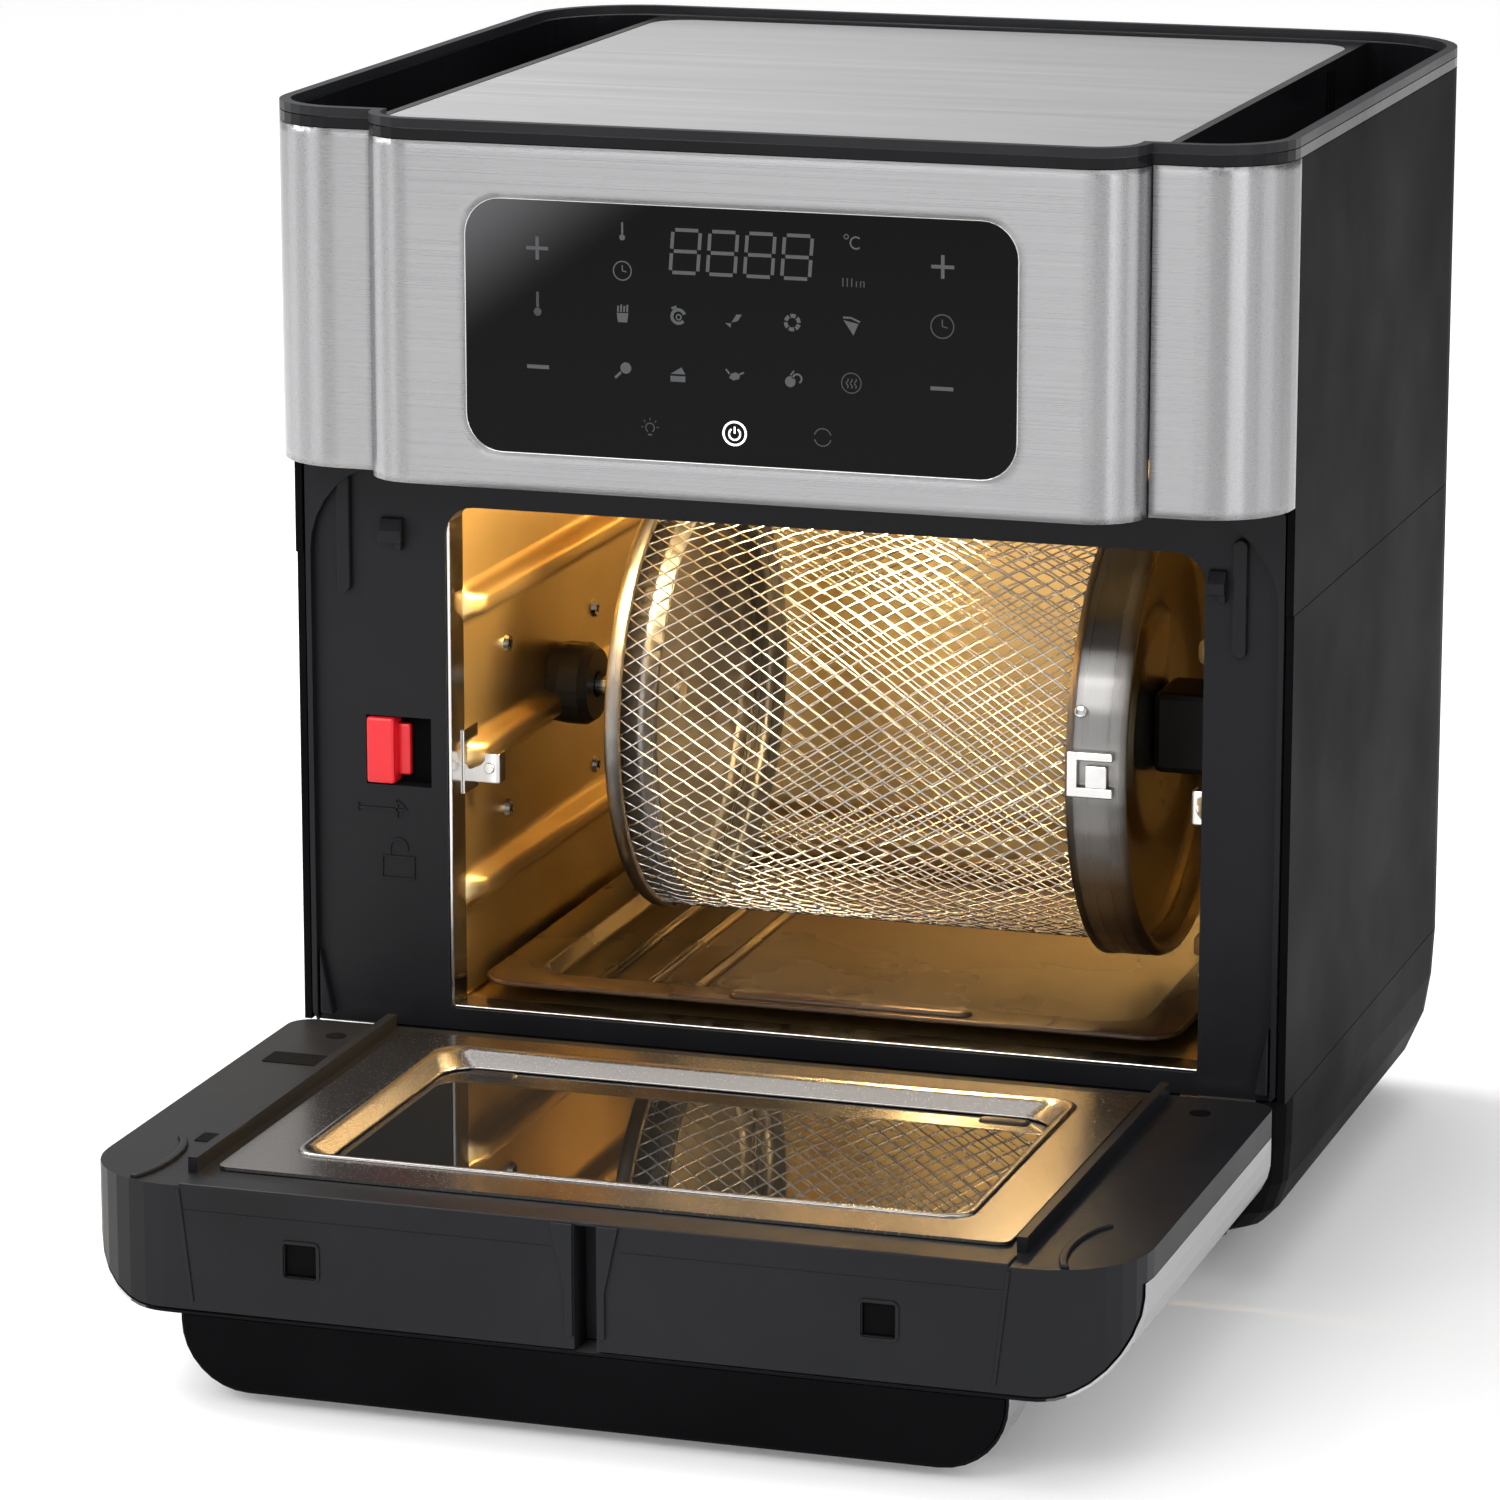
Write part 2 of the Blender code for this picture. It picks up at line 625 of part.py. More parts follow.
def make_cavity_fittings(mats):
    lens = cylinder("lamp_lens", 0.0180, (OPEN_RIGHT + 0.0003, 0.240, 0.215), 0.0040, "X", 32)
    finish(lens, mats["lens"])
    finish(cylinder("lamp_bulb", 0.0090, (0.1485, 0.240, 0.215), 0.0180, "X", 24), mats["lamp"])

    clip = [(OPEN_LEFT + 0.0003, 0.0740), (OPEN_LEFT + 0.0080, 0.0680), (OPEN_LEFT + 0.0110, 0.0680)]
    clip += [(OPEN_LEFT + 0.0110, 0.0688), (OPEN_LEFT + 0.0083, 0.0688), (OPEN_LEFT + 0.0003, 0.0750)]
    finish(flat_plate("rack_clip_left", [clip], 0.1430, 0.1535), mats["chrome"])
    clip = [(OPEN_RIGHT - 0.0003, 0.0740), (OPEN_RIGHT - 0.0050, 0.0680), (OPEN_RIGHT - 0.0080, 0.0680)]
    clip += [(OPEN_RIGHT - 0.0080, 0.0688), (OPEN_RIGHT - 0.0053, 0.0688), (OPEN_RIGHT - 0.0003, 0.0750)]
    finish(flat_plate("rack_clip_right", [clip], 0.1470, 0.1585), mats["chrome"])
    spots = ((0.105, 0.182), (0.193, 0.176), (0.105, 0.126), (0.193, 0.121))
    for i, (y, z) in enumerate(spots, 1):
        screw = cylinder(f"wall_screw_{i}", 0.0034, (OPEN_LEFT + 0.0008, y, z), 0.0020, "X", 16, 0.0026)
        finish(screw, mats["chrome"])
    gland = cylinder("cord_gland", 0.0080, (-0.095, BACK_Y + 0.0033, 0.105), 0.0060, "Y", 24, 0.0065)
    finish(gland, mats["rubber"])


def door_outline():
    return rounded(-DOOR_HALF, DOOR_LOW, DOOR_HALF, DOOR_TOP, (0.008, 0.008, DOOR_CORNER, DOOR_CORNER), 8)


def make_door(mats):
    hinge = pivot("door_pivot", Vector((0.0, HINGE_Y, HINGE_Z)), 90.0)

    window = rounded(-0.1070, 0.0880, 0.1070, 0.2160, 0.008)
    keep = cutter(upright_plate("door_keep", [door_outline()], -0.02, 0.08))
    onto(keep, hinge)
    inset = SHEET + 0.0007
    half = [(DOOR_HALF + 0.001, DOOR_FACE), (DOOR_HALF + 0.001, DOOR_FLANGE)]
    half.append((DOOR_HALF - inset, DOOR_FLANGE))
    half += arc(DOOR_HALF - 0.027, DOOR_SKIN + 0.027, 0.027 - inset, 0, -90, 8)
    flange = flat_plate("door_frame", [mirrored(half)], DOOR_LOW - 0.001, DOOR_TOP + 0.001)
    cut(flange, keep, "INTERSECT")
    for i, x in enumerate((-0.1315, 0.1275)):
        near, far = DOOR_FACE - 0.002, DOOR_FACE + 0.0048
        rail = cutter(box(f"door_rail_{i}", x, x + 0.0030, near, far, 0.0700, 0.2380))
        onto(rail, hinge)
        cut(flange, rail, "UNION")
    hole = cutter(upright_plate("door_window", [window], -0.01, 0.06))
    onto(hole, hinge)
    cut(flange, hole)
    for x in (-0.0900, 0.0900):
        low, top = DOOR_TOP - 0.0045, DOOR_TOP + 0.001
        pocket = cutter(box(f"magnet_pocket_{x:.2f}", x - 0.005, x + 0.005, 0.0180, 0.0280, low, top))
        onto(pocket, hinge)
        cut(flange, pocket)
    slot = cutter(box("latch_slot", -0.0035, 0.0035, 0.0040, 0.0440, DOOR_TOP - 0.0110, DOOR_TOP + 0.001))
    onto(slot, hinge)
    cut(flange, slot)
    onto(flange, hinge)
    finish(flange, mats["plastic"])

    out = arc(DOOR_HALF - 0.027, DOOR_SKIN + 0.027, 0.027, -90, 0, 8) + [(DOOR_HALF, DOOR_FLANGE - GAP)]
    back = arc(DOOR_HALF - 0.027, DOOR_SKIN + 0.027, 0.027 - SHEET, -90, 0, 8)
    back.append((DOOR_HALF - SHEET, DOOR_FLANGE - GAP))
    outer = [(-x, y) for x, y in reversed(out)] + out
    inner = [(-x, y) for x, y in reversed(back)] + back
    skin = flat_plate("door_skin", [outer + inner[::-1]], DOOR_LOW - 0.001, DOOR_TOP + 0.001)
    opening = rounded(-0.1110, 0.0860, 0.1110, 0.2190, 0.010)
    glass_hole = cutter(upright_plate("skin_window", [opening], -0.01, 0.01))
    onto(glass_hole, hinge)
    onto(skin, hinge)
    cut(skin, keep, "INTERSECT")
    cut(skin, glass_hole)
    finish(skin, mats["brushed"])

    pane = rounded(-0.1107, 0.0863, 0.1107, 0.2187, 0.0097)
    glass = upright_plate("outer_glass", [pane], DOOR_SKIN, 0.0042)
    finish(onto(glass, hinge), mats["glass"])
    pane = rounded(-0.1067, 0.0883, 0.1067, 0.2157, 0.0077)
    glass = upright_plate("inner_glass", [pane], 0.0360, 0.0390)
    finish(onto(glass, hinge), mats["glass"])

    outline = rounded(-0.1240, 0.0760, 0.1240, 0.2340, 0.003, 2)
    pane = rounded(-0.1060, 0.0890, 0.1060, 0.2150, 0.007)
    plate = upright_plate("door_plate", [outline, pane], DOOR_FACE + GAP, DOOR_FACE + 0.0013)
    finish(onto(plate, hinge), mats["steel"])

    for side, x in (("left", -0.0900), ("right", 0.0900)):
        low, top = DOOR_TOP - 0.0041, DOOR_TOP - 0.0010
        magnet = box(f"latch_magnet_{side}", x - 0.0046, x + 0.0046, 0.0184, 0.0276, low, top)
        finish(onto(magnet, hinge), mats["socket"])

    low, top = 0.2280, 0.2520
    grip = handle_outline(0.1280, HANDLE_FRONT + 0.0013, DOOR_SKIN - GAP, 0.0200)
    grip_obj = flat_plate("handle_grip", [grip], low, top)
    reach = HANDLE_FRONT + 0.0050
    scoop = cutter(box("handle_scoop", -0.1130, 0.1130, reach, -0.0020, low - 0.001, top - 0.0060))
    onto(scoop, hinge)
    cut(onto(grip_obj, hinge), scoop)
    finish(grip_obj, mats["plastic"])
    outer = handle_outline(0.1292, HANDLE_FRONT, DOOR_SKIN - GAP, 0.0212)
    inner = handle_outline(0.1283, HANDLE_FRONT + 0.0010, DOOR_SKIN - GAP, 0.0203)
    band = flat_plate("handle_band", [outer + inner[::-1]], low + 0.0005, top - 0.0012)
    finish(onto(band, hinge), mats["brushed"])

    for side, sign in (("left", -1), ("right", 1)):
        pin = cylinder(f"hinge_pin_{side}", 0.0020, (sign * 0.1450, HINGE_Y, HINGE_Z), 0.0240, "X", 16)
        finish(onto(pin, hinge), mats["chrome"])


def handle_outline(half, front, back, radius):
    points = [(-half, back)]
    points += arc(-half + radius, front + radius, radius, 180, 270, 8)
    points += arc(half - radius, front + radius, radius, 270, 360, 8)
    points.append((half, back))
    return points


def main():
    global part, helpers
    clear_scene()
    part = new_collection("rotisserie_oven")
    helpers = new_collection("cutters")
    mats = {
        "cover": material("gloss_cover", (0.020, 0.020, 0.022), 0.25),
        "rim": material("satin_rim", (0.060, 0.060, 0.065), 0.38),
        "brushed": material("brushed_steel", (0.62, 0.62, 0.61), 0.30, 1.0),
        "shell": material("black_shell", (0.012, 0.012, 0.013), 0.35),
        "rubber": material("black_rubber", (0.015, 0.015, 0.015), 0.80),
        "gloss": material("display_gloss", (0.004, 0.004, 0.005), 0.05),
        "board": material("board_green", (0.03, 0.12, 0.05), 0.50),
        "plastic": material("frame_plastic", (0.018, 0.018, 0.020), 0.45),
        "cavity": material("cavity_steel", (0.60, 0.57, 0.50), 0.28, 1.0),
        "tray": material("nonstick_tray", (0.045, 0.042, 0.040), 0.40, 0.3),
        "element": material("element_steel", (0.12, 0.11, 0.10), 0.45, 0.8),
        "wire": material("wire_steel", (0.62, 0.61, 0.59), 0.28, 1.0),
        "aluminium": material("fan_aluminium", (0.70, 0.70, 0.71), 0.40, 1.0),
        "motor": material("motor_steel", (0.35, 0.35, 0.36), 0.45, 1.0),
        "socket": material("black_heatproof", (0.012, 0.012, 0.012), 0.50),
        "chrome": material("polished_steel", (0.66, 0.65, 0.63), 0.16, 1.0),
        "red": material("red_plastic", (0.62, 0.012, 0.016), 0.30),
        "lens": material("lamp_glass", (0.90, 0.88, 0.82), 0.10),
        "lamp": material("lamp_bulb", (0.95, 0.80, 0.50), 0.20),
        "glass": material("door_glass", (0.05, 0.055, 0.06), 0.03),
        "steel": material("plate_steel", (0.55, 0.55, 0.54), 0.25, 1.0),
    }
    make_top(mats)
    make_shells(mats)
    make_console(mats)
    make_front_frame(mats)
    make_cavity(mats)
    make_heat(mats)
    make_drum_drive(mats)
    make_release(mats)
    make_cavity_fittings(mats)
    make_door(mats)
    for obj in list(part.objects) + list(helpers.objects):
        if obj.parent is None:
            obj.location.y -= CENTRE_Y


main()
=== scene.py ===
import math

import bmesh
import bpy
from mathutils import Matrix, Vector


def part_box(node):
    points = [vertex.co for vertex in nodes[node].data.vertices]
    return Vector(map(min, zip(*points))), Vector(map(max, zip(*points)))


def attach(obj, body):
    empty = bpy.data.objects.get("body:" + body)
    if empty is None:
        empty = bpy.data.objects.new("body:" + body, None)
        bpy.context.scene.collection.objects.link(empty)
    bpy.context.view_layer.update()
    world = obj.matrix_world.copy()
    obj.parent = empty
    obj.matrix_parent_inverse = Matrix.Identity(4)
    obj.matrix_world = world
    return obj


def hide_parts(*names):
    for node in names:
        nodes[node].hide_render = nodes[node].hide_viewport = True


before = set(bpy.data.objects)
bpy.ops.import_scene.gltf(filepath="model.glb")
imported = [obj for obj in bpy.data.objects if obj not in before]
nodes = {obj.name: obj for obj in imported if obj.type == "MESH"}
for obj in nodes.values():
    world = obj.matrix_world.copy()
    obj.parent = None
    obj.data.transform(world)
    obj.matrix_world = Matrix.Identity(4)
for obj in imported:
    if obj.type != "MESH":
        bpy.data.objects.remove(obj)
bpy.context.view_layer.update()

# The console front is the plane frontY; every piece measures from it.
consoleLow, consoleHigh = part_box("console_skin")
frontY = consoleLow.y
drumLow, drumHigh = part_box("drum_mesh")
drumAxis = (drumLow + drumHigh) / 2
drumRadius = (drumHigh.z - drumLow.z) / 2
tau = 2 * math.pi


# materials: all but the glowing ones are built from noise on the object's own coordinates
def newMat(name, settings={}):
    mat = bpy.data.materials.new(name)
    mat.use_nodes = True
    tree = mat.node_tree
    tree.nodes.clear()
    out = tree.nodes.new("ShaderNodeOutputMaterial")
    bsdf = tree.nodes.new("ShaderNodeBsdfPrincipled")
    tree.links.new(bsdf.outputs[0], out.inputs[0])
    for key, value in settings.items():
        bsdf.inputs[key].default_value = value
    return mat, tree, bsdf


def addNode(tree, kind, **values):
    node = tree.nodes.new(kind)
    for key, value in values.items():
        if hasattr(node, key) and key not in node.inputs:
            setattr(node, key, value)
        else:
            node.inputs[key].default_value = value
    return node


def coords(tree, scale=(1, 1, 1)):
    place = addNode(tree, "ShaderNodeTexCoord")
    mapping = addNode(tree, "ShaderNodeMapping")
    mapping.inputs["Scale"].default_value = scale
    tree.links.new(place.outputs["Object"], mapping.inputs[0])
    return mapping.outputs[0]


def noise(tree, where, scale, detail=3.0, rough=0.55):
    node = addNode(tree, "ShaderNodeTexNoise", Scale=scale, Detail=detail, Roughness=rough)
    tree.links.new(where, node.inputs["Vector"])
    return node.outputs["Fac"]


def spread(tree, value, low, high, fromLow=0.3, fromHigh=0.7, curve="LINEAR"):
    node = addNode(tree, "ShaderNodeMapRange", interpolation_type=curve)
    for key, limit in (("From Min", fromLow), ("From Max", fromHigh), ("To Min", low), ("To Max", high)):
        node.inputs[key].default_value = limit
    tree.links.new(value, node.inputs["Value"])
    return node.outputs[0]


def twoColours(tree, value, dark, light):
    mix = addNode(tree, "ShaderNodeMix", data_type="RGBA")
    tree.links.new(value, mix.inputs[0])
    mix.inputs[6].default_value = (*dark, 1)
    mix.inputs[7].default_value = (*light, 1)
    return mix.outputs[2]


def bumpFrom(tree, bsdf, value, strength, distance, soften=0.0):
    bump = addNode(tree, "ShaderNodeBump", Strength=strength, Distance=distance)
    if soften:
        # rounds the shading over the flat steps of a bent sheet
        ease = addNode(tree, "ShaderNodeBevel", samples=8)
        ease.inputs["Radius"].default_value = soften
        tree.links.new(ease.outputs[0], bump.inputs["Normal"])
    tree.links.new(value, bump.inputs["Height"])
    tree.links.new(bump.outputs[0], bsdf.inputs["Normal"])


def brushedMetal(name, grain, dark, light, rough, anisotropic=0.0, bump=0.05, darkEdge=False, soften=0.0):
    # grain is the stretch of the noise along X, Y and Z: the brushing runs along the smallest
    settings = {"Metallic": 1.0, "Anisotropic": anisotropic, "Anisotropic Rotation": 0.25}
    mat, tree, bsdf = newMat(name, settings)
    lines = noise(tree, coords(tree, grain), 1.0, 4.0, 0.7)
    clouds = noise(tree, coords(tree), 22.0, 3.0)
    both = addNode(tree, "ShaderNodeMath", operation="MULTIPLY_ADD")
    tree.links.new(clouds, both.inputs[0])
    both.inputs[1].default_value = 0.35
    tree.links.new(lines, both.inputs[2])
    tone = spread(tree, both.outputs[0], 0.0, 1.0, 0.42, 0.92)
    colour = twoColours(tree, tone, dark, light)
    if darkEdge:
        # the cut edge that faces the latch side is painted black
        shape = addNode(tree, "ShaderNodeTexCoord")
        apart = addNode(tree, "ShaderNodeSeparateXYZ")
        tree.links.new(shape.outputs["Normal"], apart.inputs[0])
        edgeMix = addNode(tree, "ShaderNodeMix", data_type="RGBA")
        tree.links.new(spread(tree, apart.outputs["Y"], 1.0, 0.0, -0.97, -0.90), edgeMix.inputs[0])
        tree.links.new(colour, edgeMix.inputs[6])
        edgeMix.inputs[7].default_value = (0.008, 0.008, 0.009, 1)
        colour = edgeMix.outputs[2]
    tree.links.new(colour, bsdf.inputs["Base Color"])
    tree.links.new(spread(tree, lines, rough - 0.05, rough + 0.05), bsdf.inputs["Roughness"])
    bumpFrom(tree, bsdf, lines, bump, 0.0004, soften)
    return mat


def plastic(name, colour, rough, grain=0.10, scale=900.0, coat=0.0, metallic=0.0, shine=0.3, ior=1.5):
    settings = {"IOR": ior, "Metallic": metallic, "Specular IOR Level": shine, "Coat Weight": coat}
    mat, tree, bsdf = newMat(name, settings)
    fine = noise(tree, coords(tree), scale, 2.0)
    clouds = noise(tree, coords(tree), 14.0, 4.0)
    dark = tuple(c * 0.80 for c in colour)
    light = tuple(c * 1.25 for c in colour)
    tree.links.new(twoColours(tree, spread(tree, clouds, 0, 1), dark, light), bsdf.inputs["Base Color"])
    tree.links.new(spread(tree, clouds, rough - 0.05, rough + 0.07), bsdf.inputs["Roughness"])
    bumpFrom(tree, bsdf, fine, grain, 0.0003)
    return mat


def glowing(name, colour, strength):
    settings = {"Base Color": (*colour, 1), "Roughness": 0.4, "Emission Color": (*colour, 1),
                "Emission Strength": strength}
    return newMat(name, settings)[0]


def cavityMetal():
    # satin steel with the oven lamp's warm amber light painted into its base colour
    mat, tree, bsdf = newMat("cavitySatin", {"Metallic": 1.0})
    grain = noise(tree, coords(tree, (60, 60, 60)), 40.0, 3.0, 0.7)
    clouds = noise(tree, coords(tree), 9.0, 4.0)
    tone = spread(tree, clouds, 0.0, 1.0)
    # painted light: the amber of the lamp's glow is set in the base colour
    tree.links.new(twoColours(tree, tone, (0.66, 0.47, 0.20), (0.84, 0.66, 0.34)), bsdf.inputs["Base Color"])
    tree.links.new(spread(tree, grain, 0.27, 0.42), bsdf.inputs["Roughness"])
    bumpFrom(tree, bsdf, grain, 0.12, 0.0003)
    return mat


def displayGlass():
    # black glass with a painted reflection: a soft grey glare painted into its base colour that fades out
    # from its top left corner
    mat, tree, bsdf = newMat("displayBlack", {"Specular IOR Level": 0.10})
    where = coords(tree)
    apart = addNode(tree, "ShaderNodeSeparateXYZ")
    tree.links.new(where, apart.inputs[0])
    slope = addNode(tree, "ShaderNodeMath", operation="MULTIPLY_ADD")
    tree.links.new(apart.outputs["Z"], slope.inputs[0])
    slope.inputs[1].default_value = -1.35
    tree.links.new(apart.outputs["X"], slope.inputs[2])
    fade = spread(tree, slope.outputs[0], 0.0, 1.0, -0.492, -0.566, "SMOOTHSTEP")
    # painted glare: the base colour goes from near black to grey towards the top left corner
    glareAndSmokeTone = twoColours(tree, fade, (0.0012, 0.0012, 0.0014), (0.105, 0.106, 0.110))
    tree.links.new(glareAndSmokeTone, bsdf.inputs["Base Color"])
    grime = noise(tree, where, 30.0)
    tree.links.new(spread(tree, grime, 0.04, 0.09), bsdf.inputs["Roughness"])
    return mat


def tintedGlass():
    mat, tree, bsdf = newMat("smokedGlass", {"Transmission Weight": 0.15, "IOR": 2.1})
    glareAndSmokeTone = noise(tree, coords(tree), 35.0, 3.0)
    smoke = twoColours(tree, glareAndSmokeTone, (0.008, 0.0085, 0.009), (0.014, 0.0145, 0.015))
    tree.links.new(smoke, bsdf.inputs["Base Color"])
    tree.links.new(spread(tree, glareAndSmokeTone, 0.006, 0.018), bsdf.inputs["Roughness"])
    return mat


mats = {
    "console": brushedMetal("consoleBrushed", (7, 2200, 2200), (0.325, 0.325, 0.332), (0.365, 0.365, 0.372),
                            0.29, anisotropic=0.9, bump=0.008, soften=0.004),
    "doorSkin": brushedMetal("doorSkinBrushed", (5, 1500, 1500), (0.40, 0.40, 0.41), (0.50, 0.50, 0.51),
                             0.32, anisotropic=0.6, bump=0.012, darkEdge=True),
    # the top plate's base colour is far lighter than the console's steel so that the top reads brighter:
    # painted light on the upward face
    "plate": brushedMetal("topBrushed", (6, 1100, 500), (0.80, 0.80, 0.81), (0.88, 0.88, 0.885),
                          0.34, bump=0.02),
    "chrome": brushedMetal("polishedSteel", (90, 90, 90), (0.58, 0.57, 0.56), (0.74, 0.73, 0.71),
                           0.16, bump=0.02),
    "band": brushedMetal("drumBandSteel", (700, 5, 5), (0.27, 0.262, 0.255), (0.32, 0.312, 0.302),
                         0.30, bump=0.004, soften=0.006),
    "wire": brushedMetal("wireSteel", (300, 300, 300), (0.66, 0.65, 0.63), (0.84, 0.83, 0.81),
                         0.24, bump=0.03),
    "doorSteel": brushedMetal("doorPlateSteel", (1500, 1500, 1500), (0.30, 0.285, 0.27), (0.37, 0.35, 0.335),
                              0.24, bump=0.015),
    "aluminium": brushedMetal("fanAluminium", (60, 60, 60), (0.55, 0.55, 0.56), (0.75, 0.75, 0.76),
                              0.38, bump=0.06),
    "motor": brushedMetal("motorZinc", (90, 90, 30), (0.25, 0.25, 0.26), (0.42, 0.42, 0.43), 0.42, bump=0.08),
    "element": brushedMetal("heatedElement", (120, 120, 120), (0.07, 0.06, 0.055), (0.20, 0.16, 0.13),
                            0.45, bump=0.1),
    "cavity": cavityMetal(),
    "cover": plastic("coverBlack", (0.006, 0.006, 0.007), 0.22, grain=0.04, shine=0.5, ior=1.25),
    "rim": plastic("rimSatin", (0.016, 0.0165, 0.019), 0.36, shine=0.5, ior=1.25),
    "shell": plastic("shellBlack", (0.0042, 0.0042, 0.0047), 0.42, grain=0.07, shine=0.5, ior=1.05),
    "frame": plastic("frameBlack", (0.0100, 0.0104, 0.0120), 0.38, grain=0.16, scale=1400.0, shine=0.5,
                     ior=1.24),
    # hollowBlack is near-black painted shade, standing in for the dark inside holes, slots and recesses
    "hollow": plastic("hollowBlack", (0.002, 0.002, 0.002), 0.70, grain=0.05, shine=0.05),
    "tray": plastic("trayNonstick", (0.032, 0.020, 0.012), 0.27, grain=0.05, scale=1400.0, metallic=0.35),
    "gloss": displayGlass(),
    "socket": plastic("heatproofBlack", (0.010, 0.010, 0.010), 0.48, grain=0.20, scale=1200.0),
    "rubber": plastic("footRubber", (0.012, 0.012, 0.012), 0.75, grain=0.30, scale=800.0),
    "board": plastic("boardGreen", (0.02, 0.11, 0.05), 0.5),
    "red": plastic("leverRed", (0.70, 0.010, 0.018), 0.26, grain=0.05, coat=0.3),
    "lens": plastic("lampFrost", (0.90, 0.86, 0.76), 0.25, grain=0.05),
    "glass": tintedGlass(),
    "dim": glowing("iconDim", (0.050, 0.052, 0.056), 0.10),
    "dimmer": glowing("iconFaint", (0.024, 0.025, 0.027), 0.06),
    "lit": glowing("iconLit", (0.95, 0.96, 1.0), 1.4),
    "bulb": glowing("bulbWarm", (1.0, 0.72, 0.36), 6.0),
}
print("materials:", len(mats))

# the look of each CAD node; wall screws are chrome and feet are rubber
carried = {
    "cover": "top_cover", "rim": "top_rim", "plate": "top_plate", "gloss": "display_panel",
    "console": "console_skin corner_panel_left corner_panel_right", "board": "control_board",
    "shell": "upper_shell lower_shell base_tub handle_grip", "cavity": "cavity_liner", "tray": "drip_tray",
    "frame": "console_underside front_frame door_frame", "element": "heating_element",
    "wire": "heater_guard drum_mesh",
    "aluminium": "fan_wheel", "motor": "fan_motor drum_motor", "band": "drum_end_left drum_end_right",
    "socket": "drive_socket drum_drive_block spring_socket door_switch", "red": "release_lever",
    "chrome": "drum_pin drum_clip rack_clip_left rack_clip_right hinge_pin_left hinge_pin_right",
    "lens": "lamp_lens", "bulb": "lamp_bulb", "rubber": "cord_gland", "doorSkin": "door_skin handle_band",
    "glass": "outer_glass inner_glass", "doorSteel": "door_plate",
    "hollow": "latch_magnet_left latch_magnet_right",
}
looks = {name: key for key, names in carried.items() for name in names.split()}
for name, node in nodes.items():
    key = looks.get(name, "chrome" if name.startswith("wall_screw") else "rubber")
    node.data.materials.clear()
    node.data.materials.append(mats[key])


# place() turns a bmesh into a finished piece on its body
def place(name, bm, mat, body, slot, smooth=False, bevel=0.0, segments=2):
    mesh = bpy.data.meshes.new(name)
    bmesh.ops.remove_doubles(bm, verts=bm.verts, dist=1e-6)
    bmesh.ops.recalc_face_normals(bm, faces=bm.faces)
    bm.to_mesh(mesh)
    bm.free()
    obj = bpy.data.objects.new(name, mesh)
    bpy.context.scene.collection.objects.link(obj)
    mesh.materials.append(mats[mat])
    if smooth:
        mesh.shade_smooth()
    if bevel:
        mod = obj.modifiers.new("Soft edges", "BEVEL")
        mod.width = bevel
        mod.segments = segments
        mod.limit_method = "ANGLE"
        mod.angle_limit = math.radians(35)
        mod.use_clamp_overlap = True
    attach(obj, body)
    return obj


def addBox(bm, low, high):
    size = Vector(high) - Vector(low)
    middle = (Vector(high) + Vector(low)) / 2
    made = bmesh.ops.create_cube(bm, size=1.0)["verts"]
    bmesh.ops.scale(bm, vec=size, verts=made)
    bmesh.ops.translate(bm, vec=middle, verts=made)


def addPrism(bm, loop, axis, low, high):
    # loop holds pairs in the plane across the axis: X gives (y, z), Y gives (x, z), Z gives (x, y)
    def at(pair, depth):
        if axis == "X":
            return (depth, pair[0], pair[1])
        if axis == "Y":
            return (pair[0], depth, pair[1])
        return (pair[0], pair[1], depth)
    near = [bm.verts.new(at(p, low)) for p in loop]
    far = [bm.verts.new(at(p, high)) for p in loop]
    count = len(loop)
    bm.faces.new(near[::-1])
    bm.faces.new(far)
    for i in range(count):
        j = (i + 1) % count
        bm.faces.new((near[i], near[j], far[j], far[i]))


def addTube(bm, points, radius, sides=8, closed=False):
    rings = []
    count = len(points)
    for i, point in enumerate(points):
        before = points[(i - 1) % count] if closed or i else points[i]
        after = points[(i + 1) % count] if closed or i < count - 1 else points[i]
        along = (Vector(after) - Vector(before)).normalized()
        side = along.orthogonal().normalized()
        if rings:
            side = (lastSide - along * lastSide.dot(along)).normalized()
        lastSide = side
        up = along.cross(side)
        ring = []
        for k in range(sides):
            angle = tau * k / sides
            offset = radius * (math.cos(angle) * side + math.sin(angle) * up)
            ring.append(bm.verts.new(Vector(point) + offset))
        rings.append(ring)
    pairs = list(zip(rings, rings[1:]))
    if closed:
        pairs.append((rings[-1], rings[0]))
    for one, two in pairs:
        for k in range(sides):
            bm.faces.new((one[k], one[(k + 1) % sides], two[(k + 1) % sides], two[k]))
    if not closed:
        bm.faces.new(rings[0][::-1])
        bm.faces.new(rings[-1])


def roundRect(x0, y0, x1, y1, r, steps=5):
    points = []
    corners = ((x1 - r, y0 + r, -90), (x1 - r, y1 - r, 0), (x0 + r, y1 - r, 90), (x0 + r, y0 + r, 180))
    for cx, cy, start in corners:
        for k in range(steps + 1):
            angle = math.radians(start + 90 * k / steps)
            points.append((cx + r * math.cos(angle), cy + r * math.sin(angle)))
    return points


def ringPoints(cx, cy, r, count=24, start=0.0, sweep=360.0):
    whole = abs(sweep) >= 360
    last = count if whole else count + 1
    return [(cx + r * math.cos(math.radians(start + sweep * k / count)),
             cy + r * math.sin(math.radians(start + sweep * k / count))) for k in range(last)]


